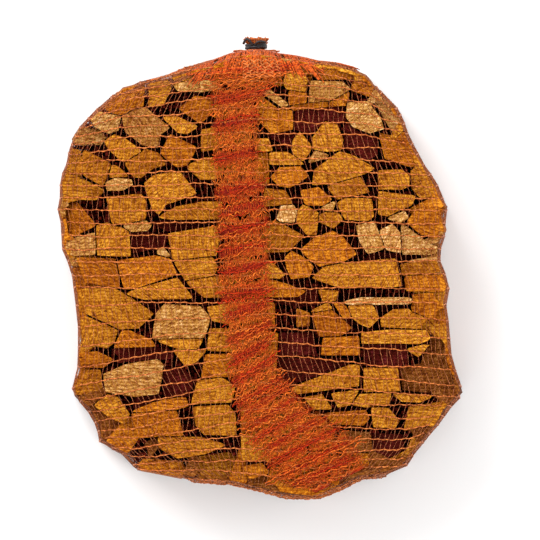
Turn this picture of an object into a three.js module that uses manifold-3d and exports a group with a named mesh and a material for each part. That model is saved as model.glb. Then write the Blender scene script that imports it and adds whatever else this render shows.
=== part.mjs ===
// Firewood bundle: split kindling packed end-up in a knitted net sack, tied at the neck.
//
// The sack lies on its back.  Its sticks stand on their sawn ends, so their front ends face
// up (+Z); +Y runs from the closed bottom of the sack to its tied neck and +X to the right.
// Millimetres.  The origin is the middle of the footprint, on the surface it rests on.

import * as THREE from 'three';
import Module from 'manifold-3d';

// ---------------------------------------------------------------- driving dimensions
const DEPTH = 206;           // from the surface to the crown of the sack
const WALL = 2;              // thickness that stands for the knitted net
const CLEAR = 1.2;           // room between the net and the nearest stick
const SPREAD = 0.03;         // the pile is this much wider at its foot than half way up
const TUCK = 2.5;            // the outermost sticks stay this much further in
const STICK_GAP = 0.5;       // trimmed off every side of a stick's outline
const FOOT = 3.2;            // height of the sticks' lower ends above the surface
const FOOT_STEP = 1.3;       // the lower ends of neighbouring sticks differ by this much

const NECK = { x: -6, z: 104, bore: 6.5 };   // axis and inner radius of the tied neck
const TIE = { y: 221.5, radius: 9.6, cord: 1.1, turns: 3 };   // round the neck
const FOLD_RISE = 3.2;       // how far the folded strip of net stands off the rest

// Level by level from the surface up: [height, how far the net curves in from its widest].
const PROFILE = [
  [0, 15], [2.5, 7], [9, 2], [26, 0], [103, 0], [168, 0],
  [186, 2], [195, 7], [200, 15], [203, 45], [205, 95], [DEPTH, 150],
];

// ---------------------------------------------------------------- the sack's outline
// Corners of the net half way up, clockwise from the neck: every stick that
// presses on the net makes its own corner.
const OUTLINE = [
  [-6, 217], [14, 214], [34, 211], [52, 207], [72, 205], [91, 200], [105, 194], [114, 183],
  [123, 172], [134, 163], [141, 148], [148, 130], [156, 115], [166, 98], [176, 82], [180, 72],
  [187, 61], [182, 52], [186, 37], [179, 26], [178, 8], [182, -3], [188, -17], [184, -34],
  [187, -52], [188, -70], [190, -88], [195, -106], [202, -124], [193, -134], [184, -144],
  [178, -156], [165, -170], [154, -183], [144, -197], [131, -205], [114, -209], [96, -211],
  [76, -221], [52, -231], [26, -229], [0, -223], [-28, -216], [-60, -213], [-88, -209],
  [-124, -202], [-134, -190], [-150, -180], [-163, -173], [-166, -158], [-175, -142],
  [-189, -128], [-191, -117], [-184, -104], [-186, -88], [-183, -72], [-185, -50],
  [-187, -30], [-190, -8], [-196, 10], [-202, 24], [-200, 40], [-205, 56], [-202, 72],
  [-203, 86], [-196, 102], [-193, 120], [-187, 136], [-172, 152], [-157, 166], [-140, 181],
  [-118, 186], [-96, 191], [-76, 198], [-50, 205], [-28, 214],
];

// ---------------------------------------------------------------- the folded strip of net
// Left and right edge of the strip at each station, from the neck down to the bottom corner.
const FOLD = [
  [[-20, 208], [8, 208]], [[-38, 187], [-4, 184]], [[-46, 165], [-7, 160]],
  [[-49, 130], [-3, 130]], [[-50, 98], [0, 98]], [[-47, 60], [8, 60]], [[-45, 20], [8, 20]],
  [[-44, -20], [10, -20]], [[-38, -60], [12, -60]], [[-34, -98], [15, -96]],
  [[-30, -128], [34, -122]], [[-24, -153], [60, -146]], [[-13, -176], [86, -163]],
  [[0, -197], [104, -180]], [[14, -216], [106, -196]],
];

// ---------------------------------------------------------------- the sticks
// Corners of each sawn end, half way down the stick; `drop` is how far the end sits below
// the net, and `slope` is the fall of an end that was split rather than sawn, towards the
// outside of the sack.
const STICKS = [
  // left of the folded strip, from the neck down
  { corners: [[-140, 151], [-128, 160], [-116, 160], [-93, 141], [-103, 134], [-105, 121],
    [-120, 124], [-137, 137]], drop: 2 },
  { corners: [[-138, 106], [-118, 119], [-103, 115], [-97, 104], [-109, 101], [-122, 91],
    [-129, 92]], drop: 3 },
  { corners: [[-178, 118], [-151, 104], [-160, 83], [-188, 98]] },
  { corners: [[-200, 86], [-191, 95], [-159, 78], [-166, 69], [-184, 69], [-200, 66]], drop: 5 },
  { corners: [[-203, 57], [-198, 63], [-186, 66], [-167, 43], [-181, 36], [-196, 30]],
    drop: 3, slope: 0.9 },
  { corners: [[-156, 71], [-121, 74], [-117, 67], [-117, 49], [-150, 43]] },
  { corners: [[-118, 85], [-108, 93], [-83, 97], [-66, 75], [-97, 64], [-104, 54], [-110, 60]],
    drop: 2 },
  { corners: [[-92, 134], [-66, 121], [-75, 103], [-86, 102], [-102, 115]], drop: 2 },
  { corners: [[-103, 51], [-86, 61], [-60, 66], [-40, 66], [-42, 50], [-62, 49], [-85, 49]],
    drop: 3 },
  { corners: [[-94, 34], [-46, 42], [-43, 28], [-46, 13], [-89, 8]] },
  { corners: [[-146, 7], [-107, 12], [-93, 9], [-86, -6], [-127, -20], [-138, -21]], drop: 2 },
  { corners: [[-88, 6], [-50, 11], [-45, 2], [-48, -7], [-77, -12]], drop: 3 },
  { corners: [[-136, -26], [-122, -20.5], [-85, -10.5], [-70, -30], [-118, -31]], drop: 3 },
  { corners: [[-76, -14], [-48, -9], [-20, -8], [-20, -30], [-58, -29]], drop: 2 },
  { corners: [[-166, 43], [-154, 45], [-134, 37], [-132, 12], [-165, 13]], drop: 1 },
  { corners: [[-201, 25], [-185, 31], [-168, 35], [-168, 14], [-197, 13]], slope: 0.7 },
  { corners: [[-186, 10], [-147, 9], [-143, -19], [-177, -15]], drop: 2 },
  { corners: [[-181, -21], [-148, -21], [-135, -28], [-109, -46], [-124, -60], [-143, -61],
    [-177, -45]], drop: 1 },
  { corners: [[-179, -48], [-145, -63], [-149, -75], [-156, -80], [-180, -76]], drop: 2 },
  { corners: [[-106, -46], [-98, -37], [-62, -39], [-52, -50], [-58, -70], [-110, -71]] },
  { corners: [[-159, -107], [-138, -98], [-105, -91], [-99, -98], [-104, -126], [-128, -129],
    [-157, -124]] },
  { corners: [[-131, -147], [-86, -144], [-79, -168], [-124, -170]], drop: 1 },
  { corners: [[-69, -140], [-34, -138], [-27, -147], [-26, -168], [-58, -167], [-66, -158]],
    drop: 2 },
  // right of the strip, from the neck down
  { corners: [[85, 152], [86, 166], [106, 167], [119, 150], [122, 140], [108, 136], [92, 142]],
    drop: 1 },
  { corners: [[118, 135], [131, 132], [149, 124], [161, 104], [146, 103], [124, 110]],
    drop: 4 },
  { corners: [[51, 84], [53, 98], [78, 117], [93, 112], [113, 100], [98, 93], [68, 85]],
    drop: 1 },
  { corners: [[76, 65], [84, 70], [110, 69], [112, 52], [107, 48], [84, 49], [80, 57]],
    drop: 1 },
  { corners: [[-25, 44], [14, 47], [42, 32], [26, 17], [-25, 14]], drop: 3 },
  { corners: [[39, 18], [52, 29], [71, 37], [81, 31], [95, 14], [82, 7], [58, 2], [49, 8]] },
  { corners: [[-25, 10], [8, 7], [23, -7], [18, -10], [-25, -8]], drop: 3 },
  { corners: [[-18, -16], [12, -13], [45, -23], [36, -28], [-18, -30]], drop: 2 },
  { corners: [[51, -10], [62, 0], [86, 5], [134, 9], [140, -18], [80, -20]] },
  { corners: [[150, 98], [163, 97], [175, 83], [178, 71], [160, 70], [151, 80]], drop: 3 },
  { corners: [[153, 56], [180, 60], [181, 50], [184, 37], [176, 29], [160, 34], [146, 46]],
    drop: 4, slope: 0.3 },
  { corners: [[103, -101], [136, -101], [139, -123], [103, -124]] },
  { corners: [[30, -121], [52, -112], [88, -98], [98, -98], [97, -118], [36, -126]], drop: 2 },
  { corners: [[62, -71], [97, -69], [98, -87], [60, -87]], drop: 1 },
  { corners: [[148, -140], [186, -135], [181, -148], [174, -160], [143, -163]], drop: 2 },
];

// Clusters of sticks too small for a solid each: one plain solid over each cluster, up to
// the tips of its sticks.
const CLUSTERS = [
  // left side
  [[-118, 185], [-139, 180], [-158, 161], [-172, 148], [-183, 139], [-190, 128], [-192, 119],
    [-196, 97], [-190, 101], [-182, 119], [-182, 123], [-161, 125], [-157, 130], [-145, 138],
    [-142, 152], [-129, 162], [-119, 162]],
  [[-158, 126], [-148, 133], [-139, 130], [-122, 119], [-138, 108.5], [-140, 104],
    [-131, 91], [-128, 89], [-131, 83], [-141, 78], [-156, 78], [-157.5, 84], [-150, 102],
    [-151, 108], [-154, 120]],
  [[-98, 151], [-86, 152], [-82, 160], [-67, 173], [-50, 175], [-12, 178], [-9, 140],
    [-9, 112], [-12, 92], [-47, 88], [-62, 89], [-73, 101], [-64.5, 120], [-66, 123],
    [-82, 136], [-90, 140]],
  [[-140, 42], [-118, 47.5], [-105, 48], [-62, 48], [-48, 46], [-46, 43.5], [-94, 36],
    [-96, 30], [-92, 11], [-107, 13.5], [-130.5, 11.5], [-133, 37.5]],
  [[-183, -84], [-157, -82], [-147, -78], [-140, -64], [-133, -64], [-112, -73.5],
    [-60, -73], [-57, -83], [-66, -93], [-76, -98], [-88, -88], [-104, -88], [-137, -95],
    [-162, -105], [-161, -126], [-185, -127], [-186, -117], [-180, -103]],
  [[-165, -138], [-156, -127], [-146, -130], [-128, -131], [-103, -128], [-96, -100],
    [-80, -100], [-67, -112], [-73, -134], [-74, -139], [-86, -142], [-131, -145],
    [-134, -147], [-140, -155], [-153, -149]],
  [[-122, -198], [-118, -190], [-105, -180], [-104, -172], [-80, -170.5], [-62, -170],
    [-28, -171], [-25, -190], [-30, -211], [-65, -210], [-80, -207], [-119, -201]],
  // behind the folded strip
  [[-57, -40], [-18, -33], [13, -33], [14, -62], [50, -64], [57, -71], [58, -88], [88, -89],
    [96, -96], [88, -97], [52, -111], [30, -119.5], [6, -126], [-25, -137], [-30, -135],
    [-70, -136], [-64, -114], [-55, -84], [-55, -73], [-50, -50]],
  [[-23, -140], [10, -128], [34, -131], [47, -144], [58, -148], [71, -160], [82, -206],
    [76, -216], [50, -226], [20, -223], [-12, -213], [-25, -205], [-22, -190], [-23, -172]],
  // under the neck
  [[-114, 162], [-112, 184], [-90, 190], [-60, 198], [-50, 201], [-14, 205], [-12, 182],
    [-42, 179.5], [-60, 176.5], [-84, 178], [-90, 176], [-100, 163]],
  [[-8, 184], [2, 205], [20, 207], [50, 203], [72, 202], [97, 195], [105, 190], [113, 179],
    [127, 166], [140, 147], [133, 134], [122, 150], [111, 169], [86, 168], [70, 167],
    [46, 164], [26, 162], [20, 161], [-6, 180]],
  // right side
  [[-6, 134], [-6, 176], [18, 159], [46, 162], [84, 165], [84, 151], [91, 141], [108, 134],
    [117, 133], [117, 113], [104, 107.5], [93, 114], [78, 119], [67, 113], [47, 106],
    [41, 107], [31, 115], [28, 119], [12, 121], [8, 132]],
  [[-7.5, 130], [6, 130], [10, 119.5], [26, 116.5], [36, 110], [42, 104.5], [48, 93],
    [37, 86], [27, 80], [25, 77], [32, 65], [35, 57], [33, 46], [19, 46.5], [-7.5, 50]],
  [[38, 80], [51, 82.5], [67, 82], [98, 91], [107, 77], [77, 70.5], [74.5, 66],
    [78.5, 56.5], [82, 48.5], [72, 40], [55, 33], [46, 33], [36, 45], [36, 58], [40, 66]],
  [[116, 99], [141, 99], [148.5, 93], [149, 80], [156, 71.5], [152, 64], [147, 57],
    [145, 49], [140, 45.5], [127, 49], [117, 53]],
  [[95, 43], [110, 47], [118, 45], [131, 44.5], [144, 44], [158.5, 32.5], [174, 27],
    [175, 20], [175, 8], [178, -8], [183, -18], [181, -24], [146, -23.5], [142.5, -17],
    [137, 10.5], [110, 9.5], [99, 9], [98, 27]],
  [[14, -31], [36, -30], [47, -24.5], [47, -20.5], [34, -13.5], [27, -9], [25, 0], [23.5, 9],
    [30, 16], [44, 8.5], [52, 1], [50, -10], [56, -15], [80, -22], [140, -20.5],
    [145, -26], [150, -30], [149, -39], [132, -40], [119, -47], [115.5, -52], [108, -61],
    [99, -58], [92, -60], [82, -67.5], [58, -69.5], [50, -62], [16, -61]],
  [[120, -51.5], [132, -43], [149, -42], [151.5, -29], [172, -26.5], [181, -42], [184, -72],
    [187, -92], [197, -122], [172, -126], [142, -123.5], [138, -99.5], [101, -98.5],
    [100, -66], [110, -62], [118, -54]],
  [[42, -129], [60, -126], [97, -121], [102, -126], [139, -125.5], [172, -128], [172, -134],
    [147, -138], [142, -162], [112, -161], [100, -160], [72, -158], [60, -146], [48, -142]],
  [[74, -161], [112, -163], [142, -165], [170, -163.5], [160, -173], [148, -186],
    [130, -200], [112, -205], [98, -207], [84, -208]],
];

// ---------------------------------------------------------------- shape of the net
const spread = (z) => 1 + SPREAD * (1 - 2 * z / DEPTH);
const cross = (a, b) => a[0] * b[1] - a[1] * b[0];

/** How far the outline is from the middle, in the direction of (x, y). */
function outlineRadius(x, y) {
  const way = [x / Math.hypot(x, y), y / Math.hypot(x, y)];
  let radius = 0;
  OUTLINE.forEach((a, i) => {
    const b = OUTLINE[(i + 1) % OUTLINE.length];
    const side = [b[0] - a[0], b[1] - a[1]];
    const along = cross(a, way) / cross(way, side);
    const reach = cross(a, side) / cross(way, side);
    if (along >= 0 && along <= 1) radius = Math.max(radius, reach);
  });
  return radius;
}

/** Height of the net's outside over (x, y): its upper face, or its lower one. */
function netHeight(x, y, upper = true) {
  const levels = PROFILE.filter(([z]) => upper ? z > DEPTH / 2 : z < DEPTH / 2);
  if (upper) levels.reverse();
  const outline = outlineRadius(x, y);
  const reach = levels.map(([z, inset]) => Math.max(0, outline * spread(z) - inset));
  const radius = Math.hypot(x, y);
  if (radius <= reach[0]) return levels[0][0];
  for (let i = 1; i < levels.length; i++) {
    if (radius <= reach[i]) {
      const t = (radius - reach[i - 1]) / (reach[i] - reach[i - 1]);
      return levels[i - 1][0] + t * (levels[i][0] - levels[i - 1][0]);
    }
  }
  return levels.at(-1)[0];
}

// ---------------------------------------------------------------- closed solids from rings
/** Joins rings of points, all with the same number of points, into one closed geometry. */
function loft(rings, capWithCentre = false) {
  const count = rings[0].length;
  const points = rings.flat().map((p) => [...p]);
  const faces = [];
  for (let r = 0; r + 1 < rings.length; r++) {
    for (let i = 0; i < count; i++) {
      const a = r * count + i;
      const b = r * count + (i + 1) % count;
      faces.push([a, b, b + count], [a, b + count, a + count]);
    }
  }
  const last = (rings.length - 1) * count;
  if (capWithCentre) {
    const middle = (ring) => [0, 1, 2].map((k) => ring.reduce((sum, p) => sum + p[k], 0) / count);
    points.push(middle(rings[0]), middle(rings.at(-1)));
    for (let i = 0; i < count; i++) {
      const next = (i + 1) % count;
      faces.push([next, i, points.length - 2], [last + i, last + next, points.length - 1]);
    }
  } else {
    const outline = rings[0].map((p) => new THREE.Vector2(p[0], p[1]));
    for (const [a, b, c] of THREE.ShapeUtils.triangulateShape(outline, [])) {
      faces.push([c, b, a], [last + a, last + b, last + c]);
    }
  }
  return orient(points, faces);
}

/** Turns the faces outwards and returns an indexed geometry. */
function orient(points, faces) {
  const v = points.map((p) => new THREE.Vector3(...p));
  const volume = faces.reduce((sum, [a, b, c]) => sum + v[a].dot(v[b].clone().cross(v[c])), 0);
  const index = (volume < 0 ? faces.map(([a, b, c]) => [a, c, b]) : faces).flat();
  const geometry = new THREE.BufferGeometry();
  geometry.setAttribute('position', new THREE.Float32BufferAttribute(points.flat(), 3));
  geometry.setIndex(index);
  return geometry;
}

// ---------------------------------------------------------------- sticks
/** Moves a corner in towards the middle until it is clear of the net. */
function tuckIn([x, y]) {
  const room = outlineRadius(x, y) - WALL - CLEAR - TUCK;
  const radius = Math.hypot(x, y);
  const scale = Math.min(1, room / radius);
  return [x * scale, y * scale];
}

/** The same outline, counter-clockwise. */
function counterClockwise(corners) {
  const area = corners.reduce((sum, p, i) => sum + cross(p, corners[(i + 1) % corners.length]), 0);
  return area > 0 ? corners : [...corners].reverse();
}

/** Trims every side of a counter-clockwise outline by `gap`. */
function trim(corners, gap) {
  return corners.map((p, i) => {
    const before = corners.at(i - 1);
    const after = corners[(i + 1) % corners.length];
    const n1 = normal(before, p);
    const n2 = normal(p, after);
    const bisector = [n1[0] + n2[0], n1[1] + n2[1]];
    const reach = Math.max(0.5, (bisector[0] ** 2 + bisector[1] ** 2) / 2);
    return [p[0] + bisector[0] * gap / reach, p[1] + bisector[1] * gap / reach];
  });
}

/** Unit normal of the side from a to b, pointing into a counter-clockwise outline. */
function normal(a, b) {
  const length = Math.hypot(b[0] - a[0], b[1] - a[1]);
  return [(a[1] - b[1]) / length, (b[0] - a[0]) / length];
}

/** One stick, or one cluster of them: straight sides between a lower and an upper end. */
function stick({ corners, drop = 0, slope = 0 }, number) {
  const outline = trim(counterClockwise(corners.map(tuckIn)), STICK_GAP);
  const at = (z) => outline.map(([x, y]) => [x * spread(z), y * spread(z)]);
  const outwards = ([x, y]) => {
    const r = Math.hypot(x, y) + WALL + CLEAR;
    return [x * r / Math.hypot(x, y), y * r / Math.hypot(x, y)];
  };
  const ceilings = at(DEPTH).map((p) => netHeight(...outwards(p)) - WALL - CLEAR - drop);
  const floors = at(0).map((p) => netHeight(...outwards(p), false) + WALL + CLEAR);
  const foot = Math.max(FOOT, ...floors) + FOOT_STEP * (number % 4);
  const inner = Math.min(...outline.map((p) => Math.hypot(...p)));
  const top = (slope ? Math.max : Math.min)(...ceilings);
  const upper = outline.map(([x, y], i) => {
    const z = Math.min(top - slope * (Math.hypot(x, y) - inner), slope ? ceilings[i] : top);
    return [x * spread(z), y * spread(z), z];
  });
  return loft([at(foot).map(([x, y]) => [x, y, foot]), upper]);
}

// ---------------------------------------------------------------- sack, neck and fold
const wasm = await Module();
wasm.setup();

/** A closed indexed geometry as a solid for cutting and joining. */
function toSolid(geometry) {
  return new wasm.Manifold(new wasm.Mesh({
    numProp: 3,
    vertProperties: geometry.getAttribute('position').array,
    triVerts: new Uint32Array(geometry.getIndex().array),
  }));
}

/** A solid back to a geometry. */
function toGeometry(solid) {
  const mesh = solid.getMesh();
  const geometry = new THREE.BufferGeometry();
  geometry.setAttribute('position', new THREE.Float32BufferAttribute(mesh.vertProperties, 3));
  geometry.setIndex([...mesh.triVerts]);
  return geometry;
}

/** The filled shape of the sack, smaller all round by `wall`. */
function sackBody(wall) {
  const levels = PROFILE.map(([z, inset]) => [THREE.MathUtils.clamp(z, wall, DEPTH - wall), inset]);
  return toSolid(loft(levels.map(([z, inset]) => OUTLINE.map(([x, y]) => {
    const radius = Math.hypot(x, y);
    const scale = Math.max(0.02, (radius * spread(z) - inset - wall) / radius);
    return [x * scale, y * scale, z];
  })), true));
}

/** A shape turned about the neck's axis: [distance along Y, radius] from end to end. */
function neckTurning(profile, sides = 20) {
  const lathe = new THREE.LatheGeometry(profile.map(([y, r]) => new THREE.Vector2(r, y)), sides);
  lathe.translate(NECK.x, 0, NECK.z);
  return lathe;
}

/** Closed turning with its two ends on the axis, as a solid. */
function neckSolid(profile, sides = 28) {
  const rings = profile.map(([y, r]) => Array.from({ length: sides }, (_, i) => {
    const a = 2 * Math.PI * i / sides;
    return [NECK.x + r * Math.cos(a), y, NECK.z + r * Math.sin(a)];
  }));
  return toSolid(loft(rings, true));
}

/** The strip where the net is folded over itself, lying on the front of the sack. */
function foldStrip(across = 6) {
  const grid = (rise) => FOLD.map(([left, right]) => Array.from({ length: across + 1 }, (_, j) => {
    const t = j / across;
    const x = left[0] + t * (right[0] - left[0]);
    const y = left[1] + t * (right[1] - left[1]);
    const bulge = 1 - (2 * t - 1) ** 4;
    return [x, y, netHeight(x, y) + rise(bulge)];
  }));
  const upper = grid((bulge) => 0.8 + (FOLD_RISE - 0.8) * bulge);
  const lower = grid(() => -WALL / 2).map((row) => row.reverse());
  return toSolid(loft(upper.map((row, i) => [...row, ...lower[i]]), true));
}

function netSack() {
  const outside = sackBody(0)
    .add(neckSolid([[150, 88], [196, 80], [206, 50], [213, 20], [217.5, 9], [225.5, 9], [231, 13]]))
    .add(foldStrip());
  const inside = sackBody(WALL)
    .add(neckSolid([[152, 85], [194, 77], [204, 47], [211, 17], [216, NECK.bore], [235, NECK.bore]]));
  return toGeometry(outside.subtract(inside));
}

/** The black cord: turns side by side round the neck, in one closed ring. */
function neckTie(bumps = 4) {
  const width = TIE.turns * TIE.cord * 2;
  const outer = Array.from({ length: TIE.turns * bumps + 1 }, (_, i) => {
    const t = i / (TIE.turns * bumps);
    const lift = Math.abs(Math.sin(Math.PI * t * TIE.turns));
    return [TIE.y + width * (t - 0.5), TIE.radius + TIE.cord * (0.8 + 1.2 * lift)];
  });
  const first = [outer[0][0], TIE.radius];
  const last = [outer.at(-1)[0], TIE.radius];
  return neckTurning([first, ...outer, last, first]);
}

// ---------------------------------------------------------------- the bundle
const finish = (color, roughness) => new THREE.MeshStandardMaterial({ color, roughness });
const NET = finish(0xd2622a, 0.6);
const TIE_BLACK = finish(0x1c1718, 0.5);
const WOODS = [0xc08a3a, 0xb9772a, 0xcf9f5c].map((color) => finish(color, 0.85));

const bundle = new THREE.Group();
function addPiece(name, geometry, material) {
  const mesh = new THREE.Mesh(geometry, material);
  mesh.name = name;
  bundle.add(mesh);
}

const twoDigits = (i) => String(i + 1).padStart(2, '0');
addPiece('net_sack', netSack(), NET);
addPiece('neck_tie', neckTie(), TIE_BLACK);
STICKS.forEach((entry, i) => {
  addPiece(`stick_${twoDigits(i)}`, stick(entry, i), WOODS[i % WOODS.length]);
});
CLUSTERS.forEach((corners, i) => {
  addPiece(`small_sticks_${twoDigits(i)}`, stick({ corners, drop: 2 }, i), WOODS[i % WOODS.length]);
});

// The origin goes to the middle of the footprint; heights stay as they are.
const box = new THREE.Box3().setFromObject(bundle);
bundle.position.set(-(box.min.x + box.max.x) / 2, -(box.min.y + box.max.y) / 2, 0);

export default bundle;
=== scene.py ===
# %% [markdown]
# # A net sack of kindling
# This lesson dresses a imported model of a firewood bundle: about 120 split sticks, packed
# end-up in a knitted net sack and tied at the neck.  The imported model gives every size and
# place.  Each cell adds one real thing: the sticks first, then the net that holds them.

import bpy
import numpy as np
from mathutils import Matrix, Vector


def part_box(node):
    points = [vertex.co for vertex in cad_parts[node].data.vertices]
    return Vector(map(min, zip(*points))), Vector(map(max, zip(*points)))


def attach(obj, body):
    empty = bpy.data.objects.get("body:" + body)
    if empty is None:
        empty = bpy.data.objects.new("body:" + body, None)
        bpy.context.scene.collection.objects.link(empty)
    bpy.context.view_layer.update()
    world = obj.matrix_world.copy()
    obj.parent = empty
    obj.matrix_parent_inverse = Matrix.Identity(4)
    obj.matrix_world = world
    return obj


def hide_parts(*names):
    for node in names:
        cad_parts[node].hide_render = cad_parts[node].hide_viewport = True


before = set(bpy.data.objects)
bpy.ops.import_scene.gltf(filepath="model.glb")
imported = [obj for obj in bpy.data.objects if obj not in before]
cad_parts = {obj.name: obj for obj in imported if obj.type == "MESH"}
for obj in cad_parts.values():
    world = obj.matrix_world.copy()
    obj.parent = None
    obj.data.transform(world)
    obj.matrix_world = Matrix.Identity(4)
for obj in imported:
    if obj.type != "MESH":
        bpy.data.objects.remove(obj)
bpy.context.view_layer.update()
MM = 0.001
BODY = "root"

# %% [markdown]
# ## Two plans: the pile's and the room's
# The pile is a little wider at its foot than at its front.  All outlines are kept in one
# plan, the one half way up, in millimetres from a zero point near the middle.  `place`
# turns a plan point and a height into a point of the frame, in metres.

# %% Plan coordinates
DEPTH = 206.0
SPREAD = 0.03
NECK_IN_PLAN = np.array([-6.0, 221.5])
tie_low, tie_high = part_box("neck_tie")
NECK_Z = (tie_low.z + tie_high.z) / 2 / MM
PLAN_ZERO = np.array([tie_low.x + tie_high.x, tie_low.y + tie_high.y]) / 2 / MM - NECK_IN_PLAN


def spread(z):
    """Width of the pile at height z, as a share of its width half way up."""
    return 1 + SPREAD * (1 - 2 * np.asarray(z) / DEPTH)


def place(plan, z):
    """Plan points (..., 2) and heights (...) in mm to points of the frame in metres."""
    z = np.broadcast_to(z, plan.shape[:-1])
    flat = plan * spread(z)[..., None] + PLAN_ZERO
    return np.concatenate([flat, z[..., None]], axis=-1) * MM


def node_points(name):
    """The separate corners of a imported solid, in mm."""
    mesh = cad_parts[name].data
    points = np.empty(len(mesh.vertices) * 3, np.float32)
    mesh.vertices.foreach_get("co", points)
    return np.unique(np.round(points.reshape(-1, 3) / MM, 2), axis=0)


def to_plan(points):
    """Frame points in mm to plan points and heights."""
    return (points[:, :2] - PLAN_ZERO) / spread(points[:, 2])[:, None], points[:, 2]


print("neck height", round(NECK_Z, 1), "mm; plan zero", np.round(PLAN_ZERO, 2))

# %% [markdown]
# ## Meshes from grids
# Every new piece below is a grid of points worked out with numpy.  One helper puts such
# points and faces into a mesh, with named numbers per point that materials read later.

# %% Mesh helpers
def make_object(name, points, faces, material, slot, replaces=(), smooth=True, **numbers):
    """points (n, 3) in metres and a list of face arrays (m, k) become one mesh object."""
    mesh = bpy.data.meshes.new(name)
    counts = np.concatenate([np.full(len(f), f.shape[1]) for f in faces])
    corners = np.concatenate([f.reshape(-1) for f in faces]).astype(np.int32)
    mesh.vertices.add(len(points))
    mesh.vertices.foreach_set("co", np.ascontiguousarray(points, np.float32).reshape(-1))
    mesh.loops.add(len(corners))
    mesh.loops.foreach_set("vertex_index", corners)
    mesh.polygons.add(len(counts))
    starts = np.concatenate([[0], np.cumsum(counts)[:-1]]).astype(np.int32)
    mesh.polygons.foreach_set("loop_start", starts)
    mesh.polygons.foreach_set("use_smooth", np.full(len(counts), smooth))
    mesh.update(calc_edges=True)
    for key, values in numbers.items():
        layer = mesh.attributes.new(key, "FLOAT", "POINT")
        layer.data.foreach_set("value", np.ascontiguousarray(values, np.float32))
    mesh.materials.append(material)
    made = bpy.data.objects.new(name, mesh)
    bpy.context.scene.collection.objects.link(made)
    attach(made, BODY)
    if replaces:
        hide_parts(*replaces)
    return made


def wobble(x, seed, waves=5, base=1.0):
    """A smooth random line: sines of rising pitch, each weaker than the one before."""
    rng = np.random.default_rng(seed)
    pitch = base * np.cumprod(rng.uniform(1.3, 1.9, waves))
    phase = rng.uniform(0, 2 * np.pi, waves)
    strength = 1 / np.arange(1, waves + 1)
    x = np.asarray(x)[..., None]
    return (np.sin(pitch * x + phase) * strength).sum(-1) / strength.sum()


def wobble2(x, y, seed, waves=7, base=0.12):
    """A smooth random surface: plane waves in random directions."""
    rng = np.random.default_rng(seed)
    turn = rng.uniform(0, 2 * np.pi, waves)
    pitch = base * np.linspace(1, 4, waves)
    phase = rng.uniform(0, 2 * np.pi, waves)
    strength = 1 / np.sqrt(np.arange(1, waves + 1))
    x, y = np.asarray(x)[..., None], np.asarray(y)[..., None]
    along = x * np.cos(turn) + y * np.sin(turn)
    return (np.sin(pitch * along + phase) * strength).sum(-1) / strength.sum()


print("a smooth random line:", wobble(np.arange(5), seed=1).round(2))

# %% [markdown]
# ## Shared effects as node groups
# Wood grain and the shimmer of knitted tape are used by several materials, so each is a
# node group.  A group gives out only colours, masks, values and normals; the Principled
# shader stays in each material.

# %% A small node-tree helper
def add_node(tree, kind, inputs=None, **settings):
    """Adds a node, sets its properties and sockets; a socket value may be another's output."""
    node = tree.nodes.new(kind)
    for key, value in settings.items():
        setattr(node, key, value)
    for key, value in (inputs or {}).items():
        if isinstance(value, bpy.types.NodeSocket):
            tree.links.new(value, node.inputs[key])
        else:
            node.inputs[key].default_value = value
    return node


def ramp(tree, factor, stops):
    """A colour ramp from a list of (position, (r, g, b))."""
    node = add_node(tree, "ShaderNodeValToRGB", {"Fac": factor})
    elements = node.color_ramp.elements
    while len(elements) < len(stops):
        elements.new(0.5)
    for element, (position, colour) in zip(elements, stops):
        element.position = position
        element.color = (*colour, 1)
    return node.outputs["Color"]


def mix(tree, factor, a, b, mode="MIX"):
    """Mixes two colours; in a Mix node set to colours, sockets 6 and 7 hold the two."""
    inputs = {0: factor, 6: a, 7: b}
    return add_node(tree, "ShaderNodeMix", inputs, data_type="RGBA", blend_type=mode).outputs[2]


def maths(tree, operation, a, b=0.0, c=0.0, clamp=False):
    """One arithmetic step on up to three values."""
    inputs = {0: a, 1: b, 2: c}
    return add_node(tree, "ShaderNodeMath", inputs, operation=operation, use_clamp=clamp).outputs[0]


def noise(tree, at, scale, detail=2.0, roughness=0.5):
    """Soft random values between 0 and 1."""
    inputs = {"Vector": at, "Scale": scale, "Detail": detail, "Roughness": roughness}
    return add_node(tree, "ShaderNodeTexNoise", inputs).outputs["Fac"]


def attribute(tree, name):
    """A number kept on the mesh's points."""
    return add_node(tree, "ShaderNodeAttribute", attribute_name=name).outputs["Fac"]


def object_point(tree):
    """The shaded point in the object's own metres."""
    return add_node(tree, "ShaderNodeTexCoord").outputs["Object"]


# %% [markdown]
# ### Groups and materials
# A group keeps a pattern that several materials share, with sockets for what differs
# between them.  Every material starts from the same Principled shader, and relief comes
# from a Bump node.

# %% Helpers for groups and materials
COLOUR, FLOAT = "NodeSocketColor", "NodeSocketFloat"


def new_group(name, inputs, outputs):
    """An empty shader node group with named sockets: {name: (socket type, default)}."""
    tree = bpy.data.node_groups.new(name, "ShaderNodeTree")
    for key, (kind, value) in inputs.items():
        tree.interface.new_socket(key, in_out="INPUT", socket_type=kind).default_value = value
    for key, kind in outputs.items():
        tree.interface.new_socket(key, in_out="OUTPUT", socket_type=kind)
    return tree, tree.nodes.new("NodeGroupInput").outputs, tree.nodes.new("NodeGroupOutput").inputs


def new_material(name, roughness=0.5, specular=0.5):
    """A material, its node tree and its Principled shader's sockets."""
    material = bpy.data.materials.new(name)
    material.use_nodes = True
    surface = material.node_tree.nodes["Principled BSDF"].inputs
    surface["Roughness"].default_value = roughness
    surface["Specular IOR Level"].default_value = specular
    return material, material.node_tree, surface


def finish_surface(tree, surface, colour, height, strength, distance):
    """Joins a colour, and a height by way of a Bump node, to a shader."""
    inputs = {"Height": height, "Strength": strength, "Distance": distance}
    tree.links.new(colour, surface["Base Color"])
    tree.links.new(add_node(tree, "ShaderNodeBump", inputs).outputs["Normal"], surface["Normal"])


print("node helpers ready")

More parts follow.
